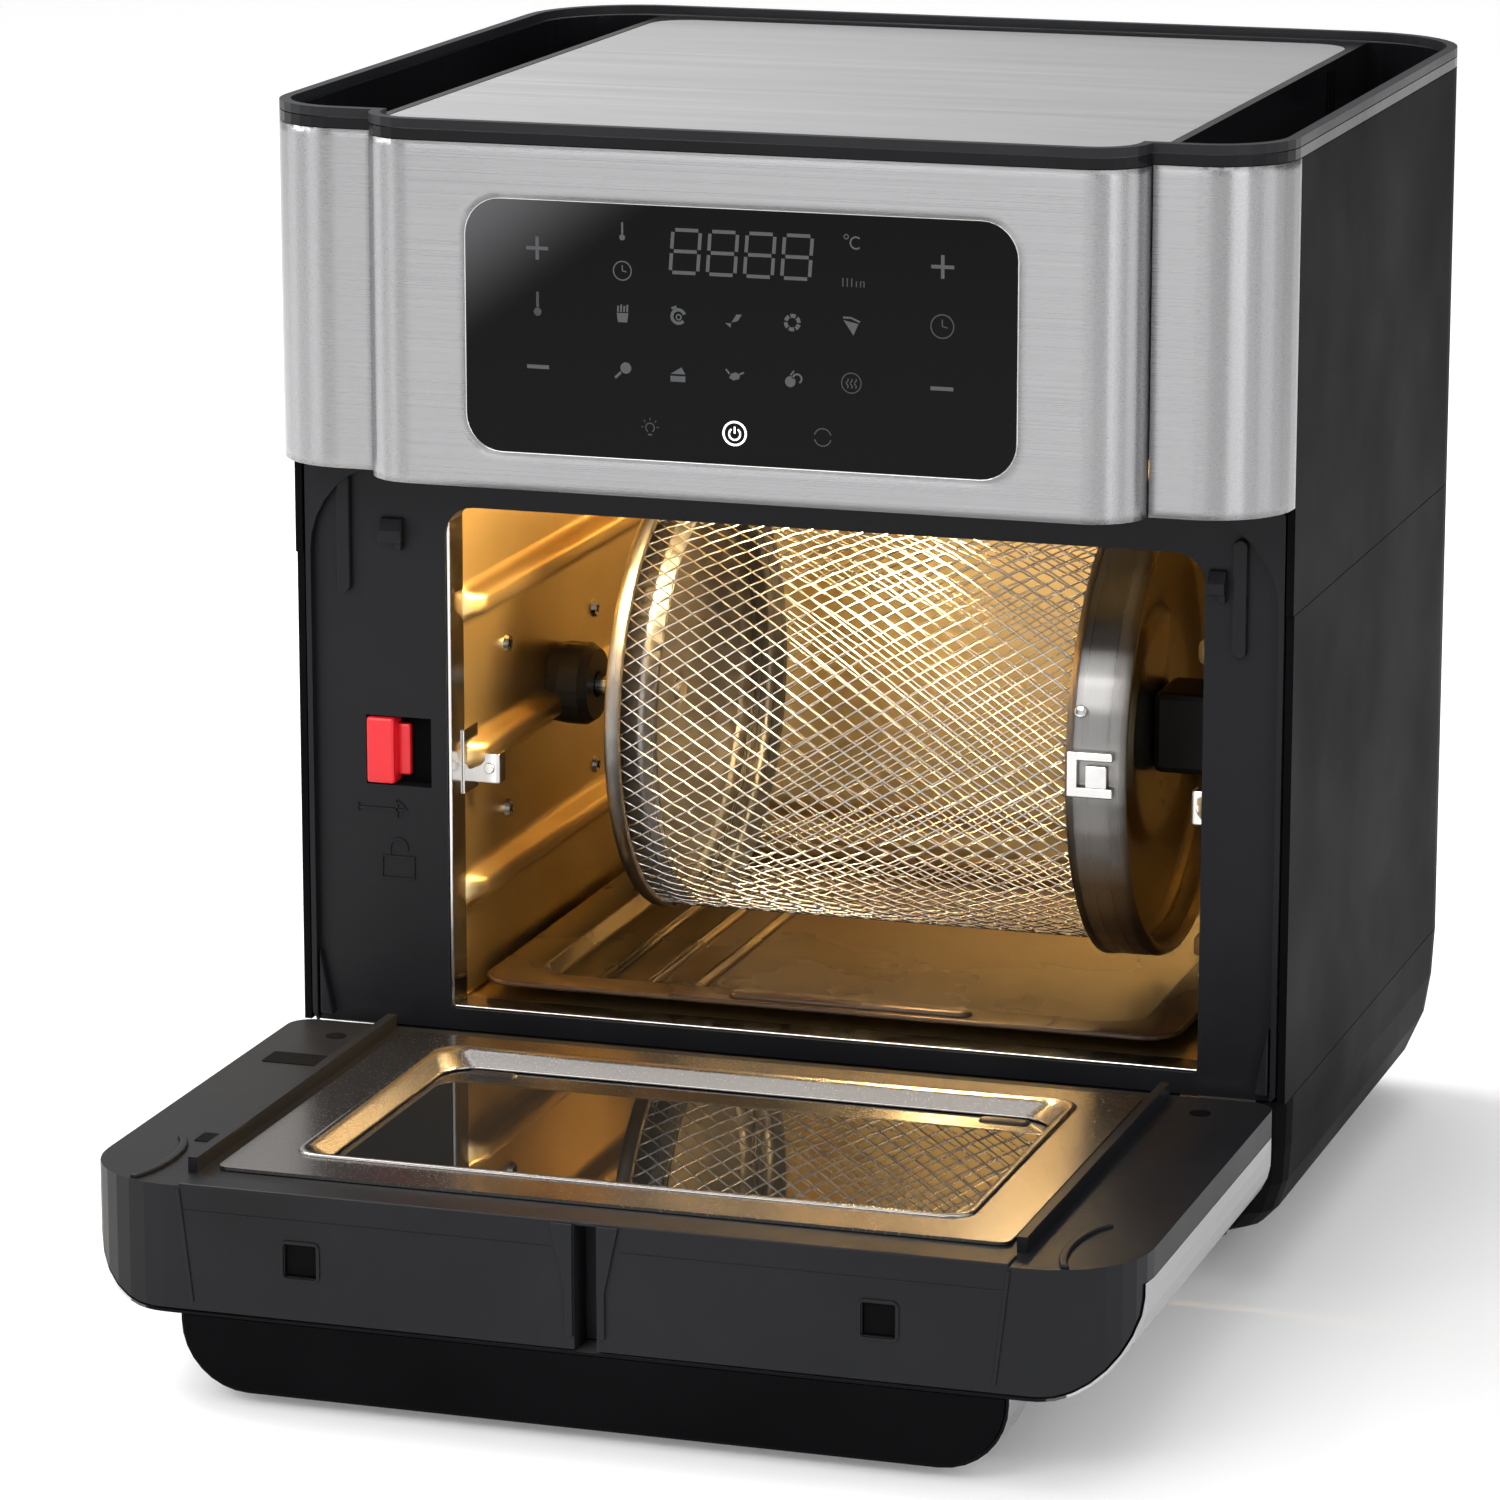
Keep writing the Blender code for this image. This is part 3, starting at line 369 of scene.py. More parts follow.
def addStrip(bm, points, width, low, high, closed=False):
    # a flat line of constant width on a plane across Y, from low to high
    count = len(points)
    left, right = [], []
    for i in range(count):
        before = points[(i - 1) % count] if closed or i else points[i]
        after = points[(i + 1) % count] if closed or i < count - 1 else points[i]
        dx, dz = after[0] - before[0], after[1] - before[1]
        size = math.hypot(dx, dz) or 1.0
        nx, nz = -dz / size * width / 2, dx / size * width / 2
        left.append((points[i][0] + nx, points[i][1] + nz))
        right.append((points[i][0] - nx, points[i][1] - nz))
    rows = []
    for y in (low, high):
        rows.append([bm.verts.new((x, y, z)) for x, z in left])
        rows.append([bm.verts.new((x, y, z)) for x, z in right])
    span = range(count if closed else count - 1)
    for i in span:
        j = (i + 1) % count
        bm.faces.new((rows[0][i], rows[0][j], rows[1][j], rows[1][i]))
        bm.faces.new((rows[2][i], rows[3][i], rows[3][j], rows[2][j]))
        bm.faces.new((rows[0][i], rows[2][i], rows[2][j], rows[0][j]))
        bm.faces.new((rows[1][i], rows[1][j], rows[3][j], rows[3][i]))
    if not closed:
        for i in (0, count - 1):
            bm.faces.new((rows[0][i], rows[1][i], rows[3][i], rows[2][i]))


displayBits = {"depth": 0.00012, "thin": 0.00055, "bold": 0.0009}
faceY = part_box("display_panel")[0].y - displayBits["depth"]
backY = faceY + displayBits["depth"] * 1.6


def line(bm, points, width=None, closed=False):
    addStrip(bm, points, width or displayBits["thin"], faceY, backY, closed)


def blob(bm, points):
    addPrism(bm, points, "Y", faceY, backY)


def iconPlus(bm, x, z, half=0.0036):
    line(bm, [(x - half, z), (x + half, z)], 0.0011)
    line(bm, [(x, z + 0.0006), (x, z + half)], 0.0011)
    line(bm, [(x, z - 0.0006), (x, z - half)], 0.0011)


def iconThermometer(bm, x, z, size):
    line(bm, [(x, z - size * 0.2), (x, z + size)], size * 0.22)
    blob(bm, ringPoints(x, z - size * 0.55, size * 0.32, 14))


def iconClock(bm, x, z, size):
    line(bm, ringPoints(x, z, size, 24), 0.0004, True)
    line(bm, [(x, z + size * 0.6), (x, z), (x + size * 0.45, z - size * 0.1)], 0.0004)


def iconFries(bm, x, z):
    tub = [(x - 0.0019, z + 0.0002), (x - 0.0015, z - 0.0027), (x + 0.0015, z - 0.0027),
           (x + 0.0019, z + 0.0002)]
    blob(bm, tub)
    for k in range(4):
        a = x - 0.0015 + k * 0.0010
        line(bm, [(a, z + 0.0005), (a + 0.0001, z + 0.0024 + 0.0004 * (k % 2))], 0.0006)


def iconSteak(bm, x, z):
    line(bm, ringPoints(x + 0.0002, z, 0.0021, 18, 20, 300), 0.0010)
    line(bm, ringPoints(x + 0.0003, z - 0.0002, 0.0008, 10), 0.0005, True)
    line(bm, [(x - 0.0020, z + 0.0024), (x - 0.0004, z + 0.0030)], 0.0008)


def iconFish(bm, x, z):
    body = [(x - 0.0010, z - 0.0010), (x + 0.0010, z - 0.0004), (x + 0.0024, z + 0.0016),
            (x + 0.0006, z + 0.0016)]
    blob(bm, body)
    blob(bm, [(x - 0.0030, z - 0.0012), (x - 0.0013, z - 0.0026), (x - 0.0011, z - 0.0012)])


def iconRingCake(bm, x, z):
    for start in range(0, 360, 60):
        line(bm, ringPoints(x, z, 0.0021, 6, start, 46), 0.0012)


def iconPizza(bm, x, z):
    blob(bm, [(x - 0.0026, z + 0.0016), (x + 0.0006, z - 0.0030), (x + 0.0022, z + 0.0006)])
    line(bm, [(x - 0.0027, z + 0.0024), (x - 0.0002, z + 0.0024), (x + 0.0026, z + 0.0012)], 0.0006)


def iconDrumstick(bm, x, z):
    blob(bm, [(x + 0.0010 + a, z + 0.0008 + b) for a, b in ringPoints(0, 0, 0.0018, 14)])
    line(bm, [(x - 0.0006, z - 0.0006), (x - 0.0025, z - 0.0024)], 0.0008)


def iconCake(bm, x, z):
    blob(bm, [(x - 0.0024, z - 0.0026), (x + 0.0024, z - 0.0026), (x + 0.0024, z - 0.0008),
              (x - 0.0024, z - 0.0008)])
    blob(bm, [(x - 0.0024, z - 0.0002), (x + 0.0024, z - 0.0002), (x + 0.0012, z + 0.0020)])


def iconBird(bm, x, z):
    blob(bm, [(x - 0.0018 + a * 0.0036, z - 0.0012 + b * 0.0026) for a, b in
              ((0, 0.3), (0.4, 0), (0.9, 0.2), (1.0, 0.7), (0.6, 1.0), (0.2, 0.8))])
    line(bm, [(x + 0.0016, z + 0.0008), (x + 0.0030, z + 0.0014)], 0.0006)
    line(bm, [(x - 0.0016, z + 0.0008), (x - 0.0028, z + 0.0022)], 0.0006)


def iconFruit(bm, x, z):
    blob(bm, ringPoints(x - 0.0006, z - 0.0006, 0.0017, 14))
    line(bm, ringPoints(x + 0.0016, z + 0.0004, 0.0014, 12, -60, 240), 0.0006)
    line(bm, [(x - 0.0006, z + 0.0014), (x + 0.0006, z + 0.0028)], 0.0005)


def iconWaves(bm, x, z):
    line(bm, ringPoints(x, z, 0.0031, 28), 0.00035, True)
    for k in (-1, 0, 1):
        a = x + k * 0.0013
        wave = [(a + 0.00035 * math.sin(n * 1.3), z - 0.0016 + n * 0.00042) for n in range(8)]
        line(bm, wave, 0.0004)


def iconBulb(bm, x, z):
    line(bm, ringPoints(x, z + 0.0006, 0.0014, 16, -60, 300), 0.0004)
    line(bm, [(x - 0.0007, z - 0.0016), (x + 0.0007, z - 0.0016)], 0.0005)
    for k in range(5):
        angle = math.radians(k * 45)
        c, s = math.cos(angle), math.sin(angle)
        ray = [(x + 0.0021 * c, z + 0.0008 + 0.0021 * s), (x + 0.0029 * c, z + 0.0008 + 0.0029 * s)]
        line(bm, ray, 0.0003)


def iconTurning(bm, x, z):
    line(bm, ringPoints(x, z, 0.0027, 14, 15, 150), 0.0004)
    line(bm, ringPoints(x, z, 0.0027, 14, 195, 150), 0.0004)


def digits(bm, left, right, low, high, count=4):
    # figure eights of seven slim bars that lean to the right
    pitch = (right - left) / (count - 0.18)
    width = pitch * 0.74
    lean = 0.12
    mid = (low + high) / 2
    t = 0.0011
    for k in range(count):
        x = left + k * pitch
        def at(px, pz):
            return (x + px + (pz - low) * lean * 0.6, pz)
        gap = 0.0007
        for z in (low, mid, high):
            line(bm, [at(gap, z), at(width - gap, z)], t)
        for px in (0, width):
            line(bm, [at(px, low + gap), at(px, mid - gap)], t)
            line(bm, [at(px, mid + gap), at(px, high - gap)], t)


faint = bmesh.new()
dim = bmesh.new()
iconThermometer(dim, -0.0373, 0.3379, 0.0030)
iconClock(dim, -0.0373, 0.3259, 0.0029)
iconPlus(dim, -0.0650, 0.3316)
iconThermometer(faint, -0.0650, 0.3140, 0.0040)
line(dim, [(-0.0686, 0.2946), (-0.0614, 0.2946)], 0.0012)
iconPlus(dim, 0.0650, 0.3320)
iconClock(faint, 0.0650, 0.3138, 0.0036)
line(dim, [(0.0614, 0.2947), (0.0686, 0.2947)], 0.0012)
digits(dim, -0.0218, 0.0238, 0.3262, 0.3394)
line(dim, ringPoints(0.0345, 0.3398, 0.0007, 10), 0.0003, True)
line(dim, ringPoints(0.0376, 0.3380, 0.0018, 12, 50, 260), 0.0005)
for k in range(3):
    line(faint, [(0.0335 + k * 0.0014, 0.3245), (0.0335 + k * 0.0014, 0.3245 + 0.0026)], 0.0004)
line(faint, [(0.0378, 0.3245), (0.0378, 0.3263)], 0.0004)
line(faint, [(0.0391, 0.3245), (0.0391, 0.3262), (0.0402, 0.3262), (0.0402, 0.3245)], 0.0004)
iconCols = (-0.0373, -0.0194, -0.0011, 0.0174, 0.0363)
for draw, x in zip((iconFries, iconSteak, iconFish, iconRingCake, iconPizza), iconCols):
    draw(dim, x, 0.3126)
for draw, x in zip((iconDrumstick, iconCake, iconBird, iconFruit), iconCols):
    draw(dim, x, 0.2949)
iconWaves(faint, iconCols[4], 0.2949)
iconBulb(faint, -0.0285, 0.2769)
iconTurning(faint, 0.0272, 0.2776)
place("displayIcons", dim, "dim", "oven", "display_gloss")
place("displayFaintIcons", faint, "dimmer", "oven", "display_gloss")
lit = bmesh.new()
line(lit, ringPoints(-0.0011, 0.2772, 0.0036, 32), 0.0006, True)
line(lit, ringPoints(-0.0011, 0.2770, 0.0018, 18, 125, 290), 0.0005)
line(lit, [(-0.0011, 0.2772), (-0.0011, 0.2793)], 0.0005)
place("powerRing", lit, "lit", "oven", "display_gloss")

# slim bright bevel round the display
edge = bmesh.new()
shape = roundRect(-0.0889, 0.2671, 0.0889, 0.3467, 0.0118, 8)
line(edge, shape, 0.0005, True)
place("displayBevel", edge, "chrome", "oven", "brushed_steel", True)
print("display done")


# the drum: two sets of wires woven between the end rings
drum = {"left": -0.0677, "right": 0.0838, "radius": drumRadius - 0.0004, "around": 80, "along": 17.8,
        "wire": 0.00033, "sides": 5, "weave": 0.00022}


def wireMesh():
    bm = bmesh.new()
    length = drum["right"] - drum["left"]
    pitch = length / drum["along"]
    turn = tau / drum["around"]
    steps = int(drum["along"] * 2)
    sides = drum["sides"]
    for way in (1, -1):
        for k in range(drum["around"]):
            rings = []
            for n in range(steps + 1):
                x = drum["left"] + length * n / steps
                # each strand rides over and under the crossings
                r = drum["radius"] + way * drum["weave"] * math.cos(math.pi * n)
                angle = k * turn + way * turn * (x - drum["left"]) / pitch
                c, s = math.cos(angle), math.sin(angle)
                slope = way * drum["radius"] * turn / pitch
                along = Vector((1, -s * slope, c * slope)).normalized()
                outward = Vector((0, c, s))
                side = along.cross(outward)
                centre = Vector((x, drumAxis.y + r * c, drumAxis.z + r * s))
                ring = []
                for m in range(sides):
                    a = tau * m / sides
                    offset = drum["wire"] * (math.cos(a) * outward + math.sin(a) * side)
                    ring.append(bm.verts.new(centre + offset))
                rings.append(ring)
            for one, two in zip(rings, rings[1:]):
                for m in range(sides):
                    bm.faces.new((one[m], one[(m + 1) % sides], two[(m + 1) % sides], two[m]))
            bm.faces.new(rings[0][::-1])
            bm.faces.new(rings[-1])
    return bm


def turnedPiece(profile, steps=96):
    # profile holds (x, radius) pairs, closed, and turns about the drum's axis
    bm = bmesh.new()
    rings = []
    for n in range(steps):
        c, s = math.cos(tau * n / steps), math.sin(tau * n / steps)
        rings.append([bm.verts.new((x, drumAxis.y + r * c, drumAxis.z + r * s)) for x, r in profile])
    count = len(profile)
    for n in range(steps):
        one, two = rings[n], rings[(n + 1) % steps]
        for k in range(count):
            j = (k + 1) % count
            bm.faces.new((one[k], one[j], two[j], two[k]))
    return bm


mesh = wireMesh()
mesh.normal_update()
wirePiece = place("wireDrum", mesh, "wire", "drum", "wire_steel", True)
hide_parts("drum_mesh")

bands = {"inset": 0.0010, "outset": 0.0040, "width": 0.0126, "thick": 0.0008, "edge": 0.0006}
inner = drumRadius - bands["inset"]
start, end = drum["left"], drum["left"] + bands["width"]
band = [(start, inner - 0.0003), (start, inner), (end - bands["edge"], inner), (end, inner - 0.0004),
        (end, inner - bands["thick"]), (start + bands["edge"], inner - bands["thick"])]
place("drumBandLeft", turnedPiece(band), "band", "drum", "polished_steel", True)
outer = drumRadius + bands["outset"]
start = drum["right"] + 0.0004
seam = [(start, outer), (start, outer + bands["edge"]), (start + 0.0020, outer + bands["edge"]),
        (start + 0.0024, outer)]
place("drumBandEdge", turnedPiece(seam), "band", "drum", "polished_steel", True)
print("drum done")

# the cavity walls are pressed sheets a hair inside the liner
opening = {"left": -0.1150, "right": 0.1360, "low": 0.0715, "top": 0.2385,
           "front": frontY + 0.0606, "back": frontY + 0.2770, "frameFace": frontY + 0.0495,
           "wallLow": 0.0722, "wallTop": 0.2580}
ridges = {"heights": (0.2030, 0.1530, 0.1080), "half": 0.0062, "deep": 0.0060, "fade": 0.008}
backPanel = {"width": 0.2510, "margin": 0.014, "topMargin": 0.020, "rise": 0.0020, "slope": 0.006}


def smooth(value):
    value = max(0.0, min(1.0, value))
    return value * value * (3 - 2 * value)


def ridgeHeight(fromEnds, z):
    # a ridge has a flat crest and smooth flanks, and fades out at its ends
    lift = 0.0
    for centre in ridges["heights"]:
        away = (z - centre) / ridges["half"]
        if abs(away) < 1:
            lift = max(lift, smooth((1 - abs(away)) * 1.7))
    return ridges["deep"] * lift * smooth(fromEnds / ridges["fade"])


def sheet(name, corner, across, up, sizes, cells, lift, mat, body, slot, thick=0.0006):
    # a pressed sheet: lift(u, v) pushes it along across x up, and it is thick behind that face
    bm = bmesh.new()
    normal = Vector(across).cross(Vector(up)).normalized()
    across, up, corner = Vector(across), Vector(up), Vector(corner)
    nu, nv = cells
    front, back = [], []
    for j in range(nv + 1):
        for i in range(nu + 1):
            u, v = sizes[0] * i / nu, sizes[1] * j / nv
            base = corner + across * u + up * v
            push = lift(u, v)
            front.append(bm.verts.new(base + normal * push))
            back.append(bm.verts.new(base + normal * (push - thick)))
    row = nu + 1
    for j in range(nv):
        for i in range(nu):
            a, b, c, d = j * row + i, j * row + i + 1, (j + 1) * row + i + 1, (j + 1) * row + i
            bm.faces.new((front[a], front[b], front[c], front[d]))
            bm.faces.new((back[d], back[c], back[b], back[a]))
    edges = [(i, i + 1) for i in range(nu)]
    edges += [(nu + j * row, nu + (j + 1) * row) for j in range(nv)]
    edges += [(nv * row + i + 1, nv * row + i) for i in reversed(range(nu))]
    edges += [((j + 1) * row, j * row) for j in reversed(range(nv))]
    for a, b in edges:
        bm.faces.new((front[a], back[a], back[b], front[b]))
    place(name, bm, mat, body, slot, True)


wallDepth = opening["back"] - opening["front"]
wallHeight = opening["wallTop"] - opening["wallLow"]


def sideLift(u, v):
    return ridgeHeight(min(u, wallDepth - u), v + opening["wallLow"])


def backLift(u, v):
    # a shallow raised panel with round corners
    inU = min(u - backPanel["margin"], backPanel["width"] - backPanel["margin"] - u)
    inV = min(v - backPanel["margin"], wallHeight - backPanel["topMargin"] - v)
    return backPanel["rise"] * smooth(min(inU, inV) / backPanel["slope"])


leftFoot = (opening["left"] + 0.0004, opening["front"], opening["wallLow"])
rightFoot = (opening["right"] - 0.0004, opening["back"], opening["wallLow"])
sheet("cavityPanelLeft", leftFoot, (0, 1, 0), (0, 0, 1), (wallDepth, wallHeight), (54, 118), sideLift,
      "cavity", "oven", "cavity_steel")
sheet("cavityPanelRight", rightFoot, (0, -1, 0), (0, 0, 1), (wallDepth, wallHeight), (54, 118), sideLift,
      "cavity", "oven", "cavity_steel")
sheet("cavityPanelBack", (opening["left"] + 0.0012, opening["back"] + 0.0002, opening["wallLow"]), (1, 0, 0),
      (0, 0, 1), (0.2486, wallHeight), (90, 70), backLift, "cavity", "oven", "cavity_steel")

# bright folded lips at the left side and the foot of the opening
lipThick = 0.0012
lips = bmesh.new()
addBox(lips, (opening["left"] + 0.0001, opening["frameFace"] + 0.0008, opening["wallLow"]),
       (opening["left"] + 0.0001 + lipThick, opening["front"] + 0.002, opening["top"] - 0.0020))
addBox(lips, (opening["left"] + 0.0001 + lipThick, opening["frameFace"] + 0.0012, opening["low"] + 0.0001),
       (opening["right"] - 0.0002, opening["front"] + 0.0015, opening["low"] + 0.0009))
place("openingLips", lips, "chrome", "oven", "polished_steel", False, 0.0003)
print("cavity done")


# the drip tray: a pressed pan with a wide flange, ribs in its floor and a grip bar in front
tray = {"left": -0.1130, "right": 0.1260, "front": frontY + 0.0630, "back": frontY + 0.2740,
        "low": 0.0717, "high": 0.0777, "ribs": 3, "ribStart": -0.0800, "ribPitch": 0.0165, "ribWidth": 0.0052}


def trayRing(bm, inset, z, radius):
    loop = roundRect(tray["left"] + inset, tray["front"] + inset, tray["right"] - inset, tray["back"] - inset,
                     radius, 8)
    return [bm.verts.new((x, y, z)) for x, y in loop]


def loftRings(bm, rings):
    for one, two in zip(rings, rings[1:]):
        for k in range(len(one)):
            j = (k + 1) % len(one)
            bm.faces.new((one[k], one[j], two[j], two[k]))
    bm.faces.new(rings[0][::-1])
    bm.faces.new(rings[-1])


# inset, height over the tray's underside and corner radius, from the foot outside round to the floor inside
panRows = ((0.0190, 0.0000, 0.011), (0.0172, 0.0006, 0.012), (0.0166, 0.0046, 0.013), (0.0156, 0.0051, 0.013),
           (0.0022, 0.0051, 0.012), (0.0016, 0.0045, 0.012), (0.0015, 0.0051, 0.012), (0.0019, 0.0060, 0.012),
           (0.0030, 0.0060, 0.012), (0.0160, 0.0058, 0.013), (0.0172, 0.0052, 0.013), (0.0186, 0.0016, 0.012),
           (0.0204, 0.0009, 0.011))
pan = bmesh.new()
loftRings(pan, [trayRing(pan, inset, tray["low"] + lift, radius) for inset, lift, radius in panRows])
panPiece = place("trayPan", pan, "tray", "tray", "nonstick_tray", True)
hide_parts("drip_tray")


def softBar(bm, x0, y0, x1, y1, z, height, radius, steps=5):
    # a pressed bar with round ends and a crowned top
    rings = []
    for k in range(steps + 1):
        angle = math.pi / 2 * k / steps
        inset = height * 1.2 * (1 - math.cos(angle))
        loop = roundRect(x0 + inset, y0 + inset, x1 - inset, y1 - inset, max(radius - inset, 0.0004), 4)
        rings.append([bm.verts.new((x, y, z + height * math.sin(angle))) for x, y in loop])
    loftRings(bm, rings)


trayRibs = bmesh.new()
for k in range(tray["ribs"]):
    x = tray["ribStart"] + tray["ribPitch"] * k
    softBar(trayRibs, x, tray["front"] + 0.0260, x + tray["ribWidth"], tray["back"] - 0.0300,
            tray["low"] + 0.0005, 0.0022, 0.0025)
place("trayRibs", trayRibs, "tray", "tray", "nonstick_tray", True)
grip = bmesh.new()
softBar(grip, -0.0260, tray["front"] + 0.0050, 0.0560, tray["front"] + 0.0125, tray["high"] - 0.0003,
        0.0022, 0.0035)
place("trayGrip", grip, "tray", "tray", "nonstick_tray", True)
print("tray done")


# the black front frame: ribs, catches, raised signs, the lever's bed and tail, two bumps over the opening
face = opening["frameFace"]
frontFrame = {"ribOut": 0.0024, "wedgeOut": 0.0030, "wedgeX": 0.1594, "sink": 0.0003, "hookOut": 0.0042,
              "hookLow": 0.2262, "hookTop": 0.2338, "signOut": 0.0005, "signWidth": 0.0008}


def pill(bm, x0, z0, x1, z1):
    # an upright rounded bar that stands out of the front frame
    half = min(x1 - x0, z1 - z0) / 2 * 0.98
    loop = roundRect(x0, z0, x1, z1, half, 5)
    addPrism(bm, loop, "Y", face - frontFrame["ribOut"], face + frontFrame["sink"])


ribs = bmesh.new()
pill(ribs, -0.1515, 0.2085, -0.1470, 0.2480)
pill(ribs, 0.1452, 0.2062, 0.1497, 0.2440)
for sign in (-1, 1):
    # wedge beside each hinge and a small one under the console
    x = sign * frontFrame["wedgeX"]
    low, high = face - frontFrame["wedgeOut"], face + frontFrame["sink"]
    addPrism(ribs, [(x, 0.0668), (sign * 0.1548, 0.0668), (x, 0.0888)], "Y", low, high)
    addPrism(ribs, [(x, 0.2280), (x, 0.2440), (sign * 0.1575, 0.2440)], "Y", low, high)
place("frameRibs", ribs, "frame", "oven", "frame_plastic", False, 0.0006)

hooks = bmesh.new()
inside, outside = face + frontFrame["sink"], face - frontFrame["hookOut"]
hook = [(inside, frontFrame["hookLow"]), (outside, frontFrame["hookLow"]), (outside, 0.2300),
        (face - 0.0018, frontFrame["hookTop"]), (inside, frontFrame["hookTop"])]
for x0, x1 in ((-0.1365, -0.1290), (0.1375, 0.1430)):
    addPrism(hooks, hook, "X", x0, x1)
    addBox(hooks, (x1 - 0.0020, face - 0.0030, 0.2235), (x1, inside, frontFrame["hookLow"] + 0.0002))
place("frameHooks", hooks, "frame", "oven", "frame_plastic", False, 0.0004)

signs = bmesh.new()


def raised(points, closed=False):
    addStrip(signs, points, frontFrame["signWidth"], face - frontFrame["signOut"], face + 0.0002, closed)


raised([(-0.1460, 0.1370), (-0.1300, 0.1370)])  # arrow
raised([(-0.1460, 0.1384), (-0.1460, 0.1356)])
raised([(-0.1325, 0.1400), (-0.1292, 0.1370), (-0.1325, 0.1340), (-0.1325, 0.1400)])
raised([(-0.1378, 0.1140), (-0.1268, 0.1140), (-0.1268, 0.1212), (-0.1378, 0.1212)], True)  # padlock
raised([(-0.1352, 0.1214), (-0.1352, 0.1240)] + ringPoints(-0.1322, 0.1242, 0.0030, 10, 180, -200))
place("frameSigns", signs, "frame", "oven", "frame_plastic")

# the lever's bed is a near-black box at the back of its recess: painted shade in the recess
leverBed = bmesh.new()
addBox(leverBed, (-0.1429, face + 0.0060, 0.1451), (-0.1206, face + 0.0069, 0.1679))
place("leverBed", leverBed, "hollow", "oven", "frame_plastic")
leverTail = bmesh.new()
addBox(leverTail, (-0.1332, face + 0.0030, 0.1480), (-0.1289, face + 0.0056, 0.1650))
place("leverTail", leverTail, "red", "lever", "red_plastic", False, 0.0006)

headerBump = {"places": (0.0062, 0.0138), "half": 0.0022, "z": 0.2500, "height": 0.0020}
bumps = bmesh.new()
for x in headerBump["places"]:
    softBar(bumps, x - headerBump["half"], face - 0.0050, x + headerBump["half"], face - 0.0010,
            headerBump["z"], headerBump["height"], 0.0018)
place("headerBumps", bumps, "frame", "oven", "frame_plastic", True)
print("front frame done")


# small steel fittings: crossed slots in the wall screws, rack brackets, the drum's latch and screws
slot = {"half": 0.0017, "thick": 0.0003, "turn": 0.5}
# the crossed slots are thin near-black prisms on the screw heads: painted shade standing for the slots' depth
screwFaces = bmesh.new()
for n in range(1, 5):
    low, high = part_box(f"wall_screw_{n}")
    middle = (low + high) / 2
    for turnBy in (slot["turn"], slot["turn"] + math.pi / 2):
        c, s = math.cos(turnBy), math.sin(turnBy)
        loop = []
        for a, b in ((-1, -1), (1, -1), (1, 1), (-1, 1)):
            a, b = a * slot["half"], b * slot["thick"]
            loop.append((middle.y + a * c - b * s, middle.z + a * s + b * c))
        addPrism(screwFaces, loop, "X", high.x - 0.0002, high.x + 0.0001)
place("screwSlots", screwFaces, "hollow", "oven", "black_heatproof")

bracket = {"thick": 0.0007, "footIn": 0.0013, "footOut": 0.0020, "dimple": 0.0018, "dimpleBack": 0.0034}
brackets = bmesh.new()
for node, sign, footTop in (("rack_clip_left", 1, 0.0090), ("rack_clip_right", -1, 0.0010)):
    low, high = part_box(node)
    wall = opening["left"] if sign > 0 else opening["right"]
    tip = high.x if sign > 0 else low.x
    root = wall + sign * 0.0014
    y, inner = low.y + 0.0002, low.y + 0.0002 + bracket["thick"]
    loop = [(root, y), (tip - sign * 0.0010, y), (tip, low.y + 0.0012), (tip, low.y + 0.0062),
            (tip - sign * bracket["thick"], low.y + 0.0062), (tip - sign * bracket["thick"], low.y + 0.0015),
            (tip - sign * 0.0013, inner), (root, inner)]
    addPrism(brackets, loop, "Z", low.z + 0.0003, high.z - 0.0003)
    # the upright foot on the wall, a little longer than the arm
    feet = sorted((wall + sign * bracket["footIn"], wall + sign * bracket["footOut"]))
    addBox(brackets, (feet[0], opening["front"] - 0.0006, low.z - 0.0020),
           (feet[1], low.y + 0.0050, high.z + footTop))
    centre = Vector((tip - sign * bracket["dimpleBack"], y, (low.z + high.z) / 2))
    dimple = [centre + Vector((0, out, 0)) for out in (0.0003, -0.0006, -0.0009)]
    addTube(brackets, dimple, bracket["dimple"], 12)
bracketPiece = place("rackBrackets", brackets, "chrome", "oven", "polished_steel", False, 0.0003)
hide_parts("rack_clip_left", "rack_clip_right")

# the latch is a plate with a window and a tongue in it
latch = {"side": 0.0034, "overlap": 0.0030, "tongueIn": 0.0060, "tongueEnd": 0.0020}
clipBits = bmesh.new()
low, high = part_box("drum_clip")
start = low.x + latch["overlap"]
addBox(clipBits, (low.x, low.y, low.z), (low.x + latch["side"], high.y, high.z))
addBox(clipBits, (start, low.y, low.z), (high.x, high.y, low.z + latch["side"]))
addBox(clipBits, (start, low.y, high.z - 0.0030), (high.x, high.y, high.z))
addBox(clipBits, (low.x + latch["tongueIn"], low.y + 0.0004, low.z + 0.0030),
       (high.x - latch["tongueEnd"], high.y, high.z - 0.0044))
clipPiece = place("drumLatch", clipBits, "chrome", "drum", "polished_steel", False, 0.0005)
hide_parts("drum_clip")

drumScrew = {"x": 0.0886, "count": 3, "start": -75, "radius": 0.0021, "reach": 0.0052}
drumScrews = bmesh.new()
for k in range(drumScrew["count"]):
    angle = math.radians(drumScrew["start"] + 360 / drumScrew["count"] * k)
    c, s = math.cos(angle), math.sin(angle)
    reach = drumRadius + drumScrew["reach"]
    centre = Vector((drumScrew["x"], drumAxis.y + reach * c, drumAxis.z + reach * s))
    outward = Vector((0, c, s))
    points = [centre - outward * 0.0012, centre + outward * 0.0004, centre + outward * 0.0010]
    addTube(drumScrews, points, drumScrew["radius"], 10)
place("drumScrews", drumScrews, "chrome", "drum", "polished_steel", True, 0.0003)
print("fittings done")


# With the door down its inner face is up: faceZ. "far" is the edge that latches.
doorLow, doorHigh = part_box("door_plate")
faceZ = doorLow.z - 0.0003
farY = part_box("door_frame")[0].y
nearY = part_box("door_frame")[1].y


